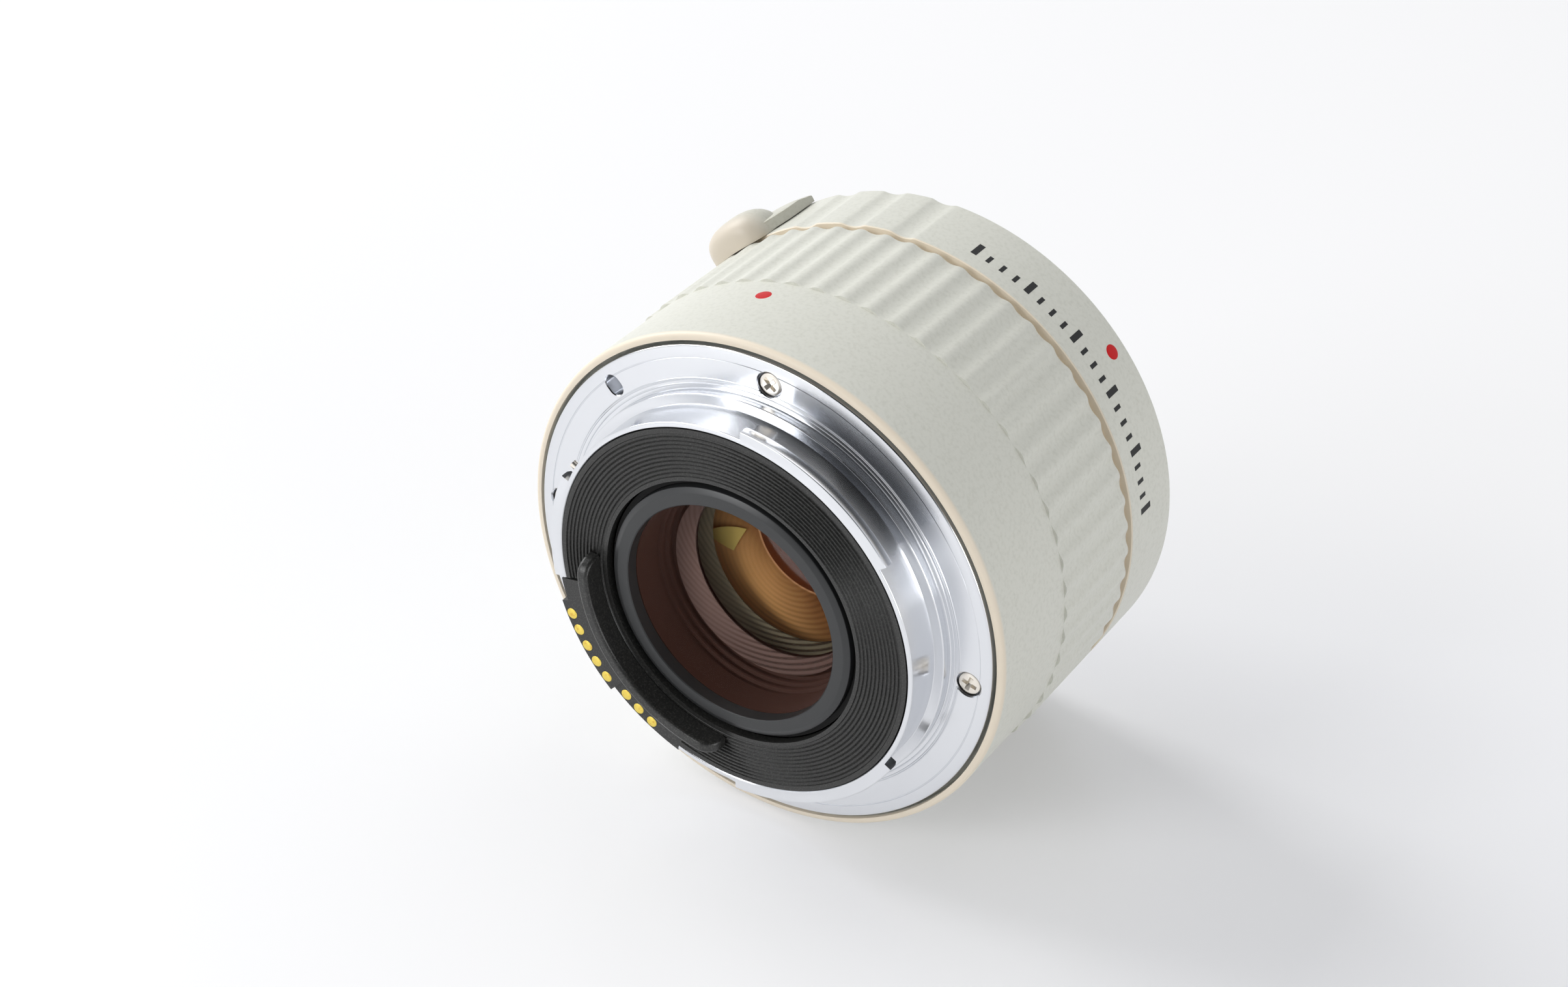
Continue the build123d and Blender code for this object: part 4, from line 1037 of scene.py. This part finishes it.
@dataclass
class LightTrap:
    """The black plate round the rear glass with its fine light-trap ridges."""

    inner: float = 17.95
    outer: float = 24.8
    face: float = -6.2
    back: float = -5.0
    ridge_first: float = 18.45
    ridge_pitch: float = 0.52
    ridge_count: int = 11
    ridge_depth: float = 0.22
    ridge_steps: int = 10
    crest_sharpness: float = 1.6
    split: float = 20.55
    block: Point = (-169.9, -108.1)
    sharp: float = 50.0

    def ridges(self, low: float, high: float) -> list[Point]:
        """The ridged face between two radii: narrow crests between rounded valleys."""
        places = [self.ridge_first + self.ridge_pitch * number / self.ridge_steps
                  for number in range(self.ridge_count * self.ridge_steps + 1)]
        inside = [radius for radius in places if low + 0.01 < radius < high - 0.01]
        return [(radius, self.face + self.depth_at(radius)) for radius in (low, *inside, high)]

    def depth_at(self, radius: float) -> float:
        """How far the ridged face is sunk at a radius."""
        phase = (radius - self.ridge_first) / self.ridge_pitch
        if phase < 0 or phase > self.ridge_count:
            return 0.0
        return self.ridge_depth * min(1.0, self.crest_sharpness * math.sin(math.pi * (phase % 1.0)))

    def build(self, black: Material) -> None:
        """Makes the plate: a whole collar and, round it, the part beside the contact block."""
        near = self.ridges(self.inner, self.split) + [(self.split, self.back), (self.inner, self.back)]
        far = self.ridges(self.split, self.outer) + [(self.outer, self.back), (self.split, self.back)]
        settle(lathe("light_trap_collar", near, 720, sharp=self.sharp), "black_plastic", black, node="rear_baffle")
        settle(lathe("light_trap_plate", far, 600, sharp=self.sharp, sweep=(self.block[1], self.block[0] + 360.0)),
               "black_plastic", black)


@dataclass
class ContactPads:
    """The eight gold pads, each a shallow dome with a darker rim."""

    radius: float = 0.75
    rim: float = 0.62
    place_radius: float = 25.75
    groups: tuple[tuple[float, int, float], ...] = ((-157.8, 5, -6.2), (-129.5, 3, -5.5))
    pitch: float = 5.2
    proud: float = 0.05
    foot: float = 0.3
    rim_share: float = 0.97

    def build(self, gold: Material, rim: Material) -> None:
        """Makes the pads, gold with a darker rim; the first stands for the CAD node of all eight."""
        number = 0
        for first, count, face in self.groups:
            for step in range(count):
                number += 1
                pad = self.pad(number, first + self.pitch * step, face)
                settle(pad, "gold_contact", gold, rim, node="rear_contact_pads" if number == 1 else "")

    def pad(self, number: int, angle: float, face: float) -> Piece:
        """Makes one pad.

        Args:
            number: the pad's number.
            angle: where it stands.
            face: where the block's face is.

        Returns:
            The pad, whose rim has the second material.
        """
        top, rim, radius = face - self.proud, self.rim, self.radius
        profile = [(0.0, top), (0.3, top + 0.004), (rim * 0.94, top + 0.02), (rim, top + 0.035),
                   (rim + 0.02, top + 0.045), (radius - 0.03, top + 0.03), (radius, top + 0.05),
                   (radius, face + self.foot), (0.0, face + self.foot)]
        pad = dome(f"contact_pad_{number}", profile, 48, 60.0)
        for polygon in pad.data.polygons:
            away = math.hypot(polygon.center.x, polygon.center.z) / MM
            polygon.material_index = 1 if away > rim * self.rim_share else 0
        pad.data.transform(Matrix.Translation(polar(self.place_radius, angle, 0.0)))
        return pad


@dataclass
class GlassGroup:
    """What shows through the rear opening: the ring, the glass surfaces and the ribbed tube."""

    ring_outer: float = 17.05
    ring_inner: float = 14.75
    ring_face: float = -6.3
    ring_back: float = -4.6
    chamfer_width: float = 0.75
    chamfer_depth: float = 0.35
    chamfer_round: float = 0.08
    face_round: float = 0.1
    inner_chamfer: float = 0.12
    tube_start: Point = (14.7, -1.0)
    tube_end: Point = (12.4, 7.7)
    tube_outer: float = 15.5
    tube_rim: float = -4.5
    rib_pitch: float = 1.09
    rib_depth: float = 0.40
    rib_profile: Profile = ((0.0, 0.0), (0.25, 0.0), (0.4, 1.0), (0.85, 1.0))
    seat_profile: Profile = ((11.6, 7.6), (12.9, 7.6), (12.9, 12.5), (11.2, 12.5))
    glint_place: float = 6.6
    glint_outline: Profile = ((-12.1, -0.4), (-10.8, 0.9), (-9.9, 1.45), (-8.9, 1.9), (-7.5, 2.35), (-6.0, 2.65),
                              (-7.1, 0.6), (-8.0, -1.4), (-9.1, -1.3), (-10.4, -1.0))

    def build(self, finishes: dict[str, Material]) -> None:
        """Makes the group.

        Args:
            finishes: the ring's three metals, one of them paler as a painted highlight, the tube's brown and its
                crests' painted highlight, and the glass films with their painted light, by name.
        """
        settle(self.retaining_ring(), "grey_metal", finishes["ring"], finishes["chamfer"], finishes["black"],
               node="rear_retaining_ring")
        settle(self.ribbed_tube(), "black_metal", finishes["tube"], finishes["crest"], node="rear_spacer")
        surfaces = (("rear_glass", 14.74, -4.6, -1.1, "rear", "rear_element"),
                    ("lilac_surface", 13.0, 1.35, 0.5, "lilac", ""), ("olive_surface", 11.95, 4.5, 0.5, "olive", ""))
        for name, radius, rim, sag, film, node in surfaces:
            settle(dome(name, bowl(radius, rim, sag, 20)), "lens_glass", finishes[film], node=node)
        faces = bowl(11.65, 7.3, 0.6) + bowl(11.65, 10.6, -0.9)[::-1]
        settle(dome("amber_glass", faces, 240, 40.0), "lens_glass", finishes["amber"], node="middle_element")
        settle(lathe("glass_seat", self.seat_profile, 240), "black_metal", finishes["tube"])
        settle(self.glint(), "lens_glass", finishes["glint"])

    def retaining_ring(self) -> Piece:
        """Turns the grey ring that holds the rear glass: cut chamfers, and a black outer wall."""
        face, wide, outer, inner = self.ring_face, self.chamfer_width, self.ring_outer, self.ring_inner
        low, small, soft, cut_in = face + self.chamfer_depth, self.chamfer_round, self.face_round, self.inner_chamfer
        profile = [(outer, self.ring_back), (outer, low + small)]
        profile += rounded((outer, low), (outer, low + small), (outer - small, low - small / 2), 3)
        profile += rounded((outer - wide, face), (outer - wide + soft, face + soft / 2), (outer - wide - soft, face), 3)
        profile += [(inner + cut_in, face), (inner, face + cut_in), (inner, self.ring_back)]
        bands = [0] * len(profile)
        bands[0] = 2
        # the chamfers wear the paler finish, a painted highlight
        bands[4:7] = [1, 1, 1]
        bands[10] = 1
        return lathe("retaining_ring", profile, 480, bands=bands)

    def ribbed_tube(self) -> Piece:
        """Turns the conical tube whose ribs catch stray light."""
        (first, start), (last, end) = self.tube_start, self.tube_end
        count = round((end - start) / self.rib_pitch)
        profile = []
        for number in range(count):
            for share, deep in self.rib_profile:
                part = (number + share) / count
                profile.append((first + (last - first) * part + self.rib_depth * (deep - 0.4),
                                start + (end - start) * part))
        profile += [(last, end), (self.tube_outer, end), (self.tube_outer, self.tube_rim), (first, self.tube_rim)]
        # the crests wear the lighter finish, a painted highlight
        bands = [1 if k % 4 == 0 else 0 for k in range(4 * count)] + [0, 0, 0, 0]
        return lathe("ribbed_tube", profile, 480, sharp=20.0, bands=bands)

    def glint(self) -> Piece:
        """Lays a painted reflection, a green-gold wedge, over the amber glass."""
        bm = bmesh.new()
        bm.faces.new([bm.verts.new(Vector((x, self.glint_place, z)) * MM) for x, z in self.glint_outline])
        return finish_mesh("painted_glint", bm)


@dataclass
class ReleaseLever:
    """The painted lens-release lever: a soft oblong thumb rest on a curved arm."""

    angle: float = 133.3
    arm_half_angle: float = 10.25
    arm_stations: tuple[float, ...] = (31.5, 31.62, 32.4, 33.2, 34.2, 35.4, 36.6, 38.5, 40.2, 41.05, 41.2)
    arm_steps: int = 36
    arm_under: float = 34.45
    arm_top: float = 35.9
    arm_edges: Point = (0.12, 0.03)
    neck_length: float = 5.4
    neck_slim: float = 2.6
    nose_start: float = 38.5
    nose_top: float = 35.4
    knob_half: float = 5.2
    knob_rise: Profile = (
        (29.4, 36.3), (29.55, 36.9), (29.9, 37.4), (30.5, 37.8), (31.3, 38.05), (32.2, 38.14), (33.0, 38.15),
        (33.8, 38.06), (34.5, 37.88), (35.2, 37.6), (35.8, 37.27), (36.4, 36.9), (36.9, 36.58), (37.4, 36.28),
        (37.8, 36.07), (38.0, 35.97))
    knob_base: float = 34.36
    knob_corner: float = 3.4
    corner_power: float = 2.4
    knob_steps: int = 32
    section_power: float = 2.7

    def build(self, paint: Material) -> None:
        """Makes the arm and the thumb rest, which ride on the release."""
        settle(self.arm(), "shell", paint, node="release_lever", body="release")
        settle(self.knob(), "shell", paint, body="release")

    def arm(self) -> Piece:
        """Bends the arm's plate round the shell, with a slim neck and thinner towards its nose."""
        start, end, steps = self.arm_stations[0], self.arm_stations[-1], self.arm_steps
        (deep, slight), nose = self.arm_edges, self.nose_start
        rings = []
        for along in self.arm_stations:
            slim = min(1.0, (along - start) / self.neck_length)
            half = self.arm_half_angle - self.neck_slim * (1.0 - slim) ** 2
            share = max(0.0, (along - nose) / (end - nose))
            top = self.arm_top + (self.nose_top - self.arm_top) * share - (deep if along in (start, end) else 0.0)
            angles = [self.angle - half + 2 * half * k / steps for k in range(steps + 1)]
            lowered = [deep, slight] + [0.0] * (steps - 3) + [slight, deep]
            ring = [polar(top - less, angle, along) for less, angle in zip(lowered, angles)]
            rings.append(ring + [polar(self.arm_under, angle, along) for angle in angles[::-1]])
        return loft("lever_arm", rings, 40.0)

    def half_width(self, along: float) -> float:
        """The thumb rest's half width in plan: round in front and softly square behind."""
        start, end = self.knob_rise[0][0], self.knob_rise[-1][0]
        front, round_, power = end - self.knob_half, self.knob_corner, self.corner_power
        if along > front:
            share = min(1.0, (along - front) / self.knob_half)
            return self.knob_half * math.sqrt(max(0.0, 1.0 - share ** 2)) + 0.02
        if along < start + round_:
            share = 1.0 - (along - start) / round_
            return self.knob_half - round_ + round_ * (1.0 - share ** power) ** (1 / power) + 0.02
        return self.knob_half

    def knob(self) -> Piece:
        """Lofts the thumb rest through rounded sections."""
        rings, steps, power = [], self.knob_steps, 2 / self.section_power
        for along, top in self.knob_rise:
            wide = self.half_width(along)
            edge = self.under(wide)
            ring = []
            for k in range(steps + 1):
                turn = math.pi * k / steps
                across = wide * math.copysign(abs(math.cos(turn)) ** power, math.cos(turn))
                rise = (top - edge) * abs(math.sin(turn)) ** power
                ring.append(polar(max(self.under(across), edge + rise), self.angle, along, across))
            for k in range(steps - 1, 0, -1):
                across = wide * math.cos(math.pi * k / steps)
                ring.append(polar(self.under(across) - 0.02, self.angle, along, across))
            rings.append(ring)
        return loft("lever_thumb_rest", rings, 60.0, merge=1e-6)

    def under(self, across: float) -> float:
        """The height of the thumb rest's underside, which follows the shell."""
        return math.sqrt(self.knob_base ** 2 - across ** 2)


@dataclass
class PrintedMarks:
    """The red index dots and the plain black ticks where the shell carries its print."""

    dots: tuple[tuple[str, float, float, float], ...] = (
        ("rear_index_mark", 101.0, 11.2, 33.92), ("front_index_mark", 40.9, 38.75, 34.3))
    dot_radius: float = 1.0
    dot_proud: float = 0.04
    dot_rings: Profile = ((0.35, 0.97), (0.7, 0.8), (0.9, 0.45), (1.0, 0.0), (1.0, -5.0))
    dot_steps: int = 40
    tick_radius: float = 34.3
    tick_heights: Point = (0.012, -0.1)
    tick_from: float = 75.0
    tick_to: float = 8.0
    tick_count: int = 20
    tick_start: float = 33.7
    long_tick: Point = (2.4, 0.42)
    short_tick: Point = (1.4, 0.28)

    def build(self, red: Material, ink: Material) -> None:
        """Makes the enamel dots and the inked ticks."""
        for node, angle, along, radius in self.dots:
            settle(self.dot(node, angle, along, radius), "red_mark", red, node=node)
        settle(self.ticks(), "black_plastic", ink)

    def dot(self, node: str, angle: float, along: float, radius: float) -> Piece:
        """Fills one index hole with a drop of enamel that follows the shell."""
        bm = bmesh.new()
        steps, rows = self.dot_steps, []
        for share, proud in self.dot_rings:
            row = []
            for k in range(steps):
                around = 2 * math.pi * k / steps
                shift = math.degrees(self.dot_radius * share * math.cos(around) / radius)
                place = along + self.dot_radius * share * math.sin(around)
                row.append(bm.verts.new(polar(radius + self.dot_proud * proud, angle + shift, place)))
            rows.append(row)
        centre = bm.verts.new(polar(radius + self.dot_proud, angle, along))
        for k in range(steps):
            after = (k + 1) % steps
            bm.faces.new((centre, rows[0][k], rows[0][after]))
            for first, second in zip(rows, rows[1:]):
                bm.faces.new((first[k], second[k], second[after], first[after]))
        bm.faces.new(rows[-1])
        return finish_mesh(node.replace("mark", "enamel"), bm, 50.0)

    def ticks(self) -> Piece:
        """Prints a row of ticks, every fourth one long."""
        bm = bmesh.new()
        for number in range(self.tick_count + 1):
            angle = self.tick_from + (self.tick_to - self.tick_from) * number / self.tick_count
            length, half = self.short_tick if number % 4 else self.long_tick
            turn = math.degrees(half / self.tick_radius)
            top, low = [[bm.verts.new(polar(self.tick_radius + height, angle + shift, self.tick_start + along))
                         for shift, along in ((-turn, 0.0), (turn, 0.0), (turn, length), (-turn, length))]
                        for height in self.tick_heights]
            bm.faces.new(top)
            bm.faces.new(low[::-1])
            for k in range(4):
                bm.faces.new((top[k], low[k], low[(k + 1) % 4], top[(k + 1) % 4]))
        return finish_mesh("tick_print", bm)


def dress_cad(finishes: dict[str, Material], slots: dict[str, str]) -> None:
    """Gives every CAD node that stays visible the finish of its slot."""
    for name, node in frame["nodes"].items():
        wear(node, finishes[slots[name]])
        log.info("dressed %s as %s", name, slots[name])


def glass_finishes(finishes: dict[str, Material]) -> dict[str, Material]:
    """Makes the finishes that show through the rear opening.

    Args:
        finishes: materials by the record's slot.

    Returns:
        The ring's metals, the tube's browns with the crests' painted highlight, and the glass films with their painted
        light, by name.
    """
    brown = {"roughness": 0.80, "metallic": 0.0, "tool_depth": 0.0}
    banded = {"clear_place": (2.1, 2.6), "stripe_pitch": 0.85, "stripe_centre": (-3.0, 7.0)}
    special = (
        # a cut edge of the grey ring, coloured paler as a painted highlight: a thin pale line
        Anodised(name="cut_chamfer", colour="66686B", metallic=0.8, roughness=0.34),
        # matt brown-black valleys of the tube, and the thin crests between them coloured lighter as a painted highlight
        Anodised(name="brown_anodised", colour="48281C", **brown),
        Anodised(name="rib_crest", colour="6E4E40", **brown),
        # a nearly clear brown film, then the lilac and olive crescents, a painted reflection of the coated glass, with
        # a painted reflection of the tube's fine rings
        CoatedGlass(name="rear_coating", colour="5A2E1A", far_colour="5A2E1A"),
        CoatedGlass(name="lilac_coating", colour="8C736B", far_colour="7A6058", cover=0.86, clear_radius=11.9,
                    stripe_share=0.6, **banded),
        CoatedGlass(name="olive_coating", colour="948B74", far_colour="6E6650", cover=0.90, clear_radius=11.6,
                    stripe_share=0.8, **banded),
        # painted light: a warm glow through the glass that deepens to brown across it, with a far pupil of painted
        # shade and a painted reflection of the tube's fine rings
        CoatedGlass(name="amber_coating", colour="FFC07A", far_colour="5A2A0E", cover=0.97, near=-11.5, far=3.0,
                    haze=6.0, pupil_place=(3.9, 5.2), pupil_radius=8.4, stripe_pitch=0.80, stripe_share=0.30,
                    stripe_reflection="4A2410"),
        # a painted reflection: a bright green-gold wedge
        CoatedGlass(name="green_glint", colour="E6CC74", far_colour="B89C50", cover=0.90))
    names = ("chamfer", "tube", "crest", "rear", "lilac", "olive", "amber", "glint")
    made = {name: finish.make() for name, finish in zip(names, special)}
    return {"ring": finishes["grey_metal"], "black": finishes["black_metal"], **made}


def main() -> None:
    """Builds the studio and every piece, and dresses the CAD nodes."""
    logging.basicConfig(level=logging.INFO, format="%(name)s: %(message)s")
    bpy.context.scene.view_settings.view_transform = "Standard"
    Studio().build()
    slots = {part["node"]: part["material_slot"] for part in frame["record"]["subparts"]}
    finishes = {slot: finish.make() for slot, finish in {
        "shell": Paint(),
        "mount_chrome": TurnedChrome(),
        "bright_steel": Nickel(),
        "spring_steel": Nickel(name="spring_steel", colour="B9B9B9"),
        "shim_brass": Nickel(name="shim_brass", colour="C9A860"),
        "black_plastic": GrainedBlack(),
        "gold_contact": Gold(),
        "frame_metal": Anodised(name="frame_metal", colour="8C8C8E"),
        "black_metal": Anodised(colour="060605", metallic=0.0, roughness=0.7),
        "grey_metal": Anodised(name="grey_anodised", colour="3A3B3C", metallic=0.3, roughness=0.36),
        "lens_glass": CoatedGlass(),
        "red_mark": RedEnamel(),
        "board": Board(),
        "chip": GrainedBlack(name="chip_epoxy"),
        "flex": Board(name="polyimide_film", colour="B5651D", track="C98A3C"),
    }.items()}
    dress_cad(finishes, slots)
    # each paint turns warmer towards its rear end along the axis, over a span that differs from piece to piece; the
    # lever's paint is a darker copy of the shell paint, painted shade that tones down the stronger light on its raised
    # thumb rest
    long_paint = Paint(name="long_shell_paint", edge_from=0.5, edge_to=1.1).make()
    short_paint = Paint(name="short_shell_paint", edge_from=31.35, edge_to=31.5).make()
    lever_paint = Paint(name="lever_paint", colour="CCCBBF", mottle="C2C0B2", edge_colour="D0C6B6", edge_from=29.8,
                        edge_to=33.5).make()
    # lands and rims that a finer cut left brighter than the bands between them
    polished = TurnedChrome(name="polished_chrome", roughness=0.20, grain_depth=0.0003, anisotropy=0.7).make()
    # the pads' rims are coloured a darker gold
    darker_rim_gold = Gold(name="gold_rim", colour="C98A2E", worn="A86A20", roughness=0.4).make()
    # flat pad-printed ink without the moulded plastic's grain
    ink = GrainedBlack(name="black_ink", colour="080808", light="0E0E0E", roughness=0.6, grain_depth=0.002).make()
    LongShell().build(long_paint)
    ShortShell().build(short_paint, finishes["black_plastic"])
    BayonetRing().build(polished, finishes["mount_chrome"])
    MountScrews().build(finishes["bright_steel"])
    LightTrap().build(finishes["black_plastic"])
    ContactPads().build(finishes["gold_contact"], darker_rim_gold)
    GlassGroup().build(glass_finishes(finishes))
    ReleaseLever().build(lever_paint)
    PrintedMarks().build(finishes["red_mark"], ink)


if __name__ == "__main__":
    main()
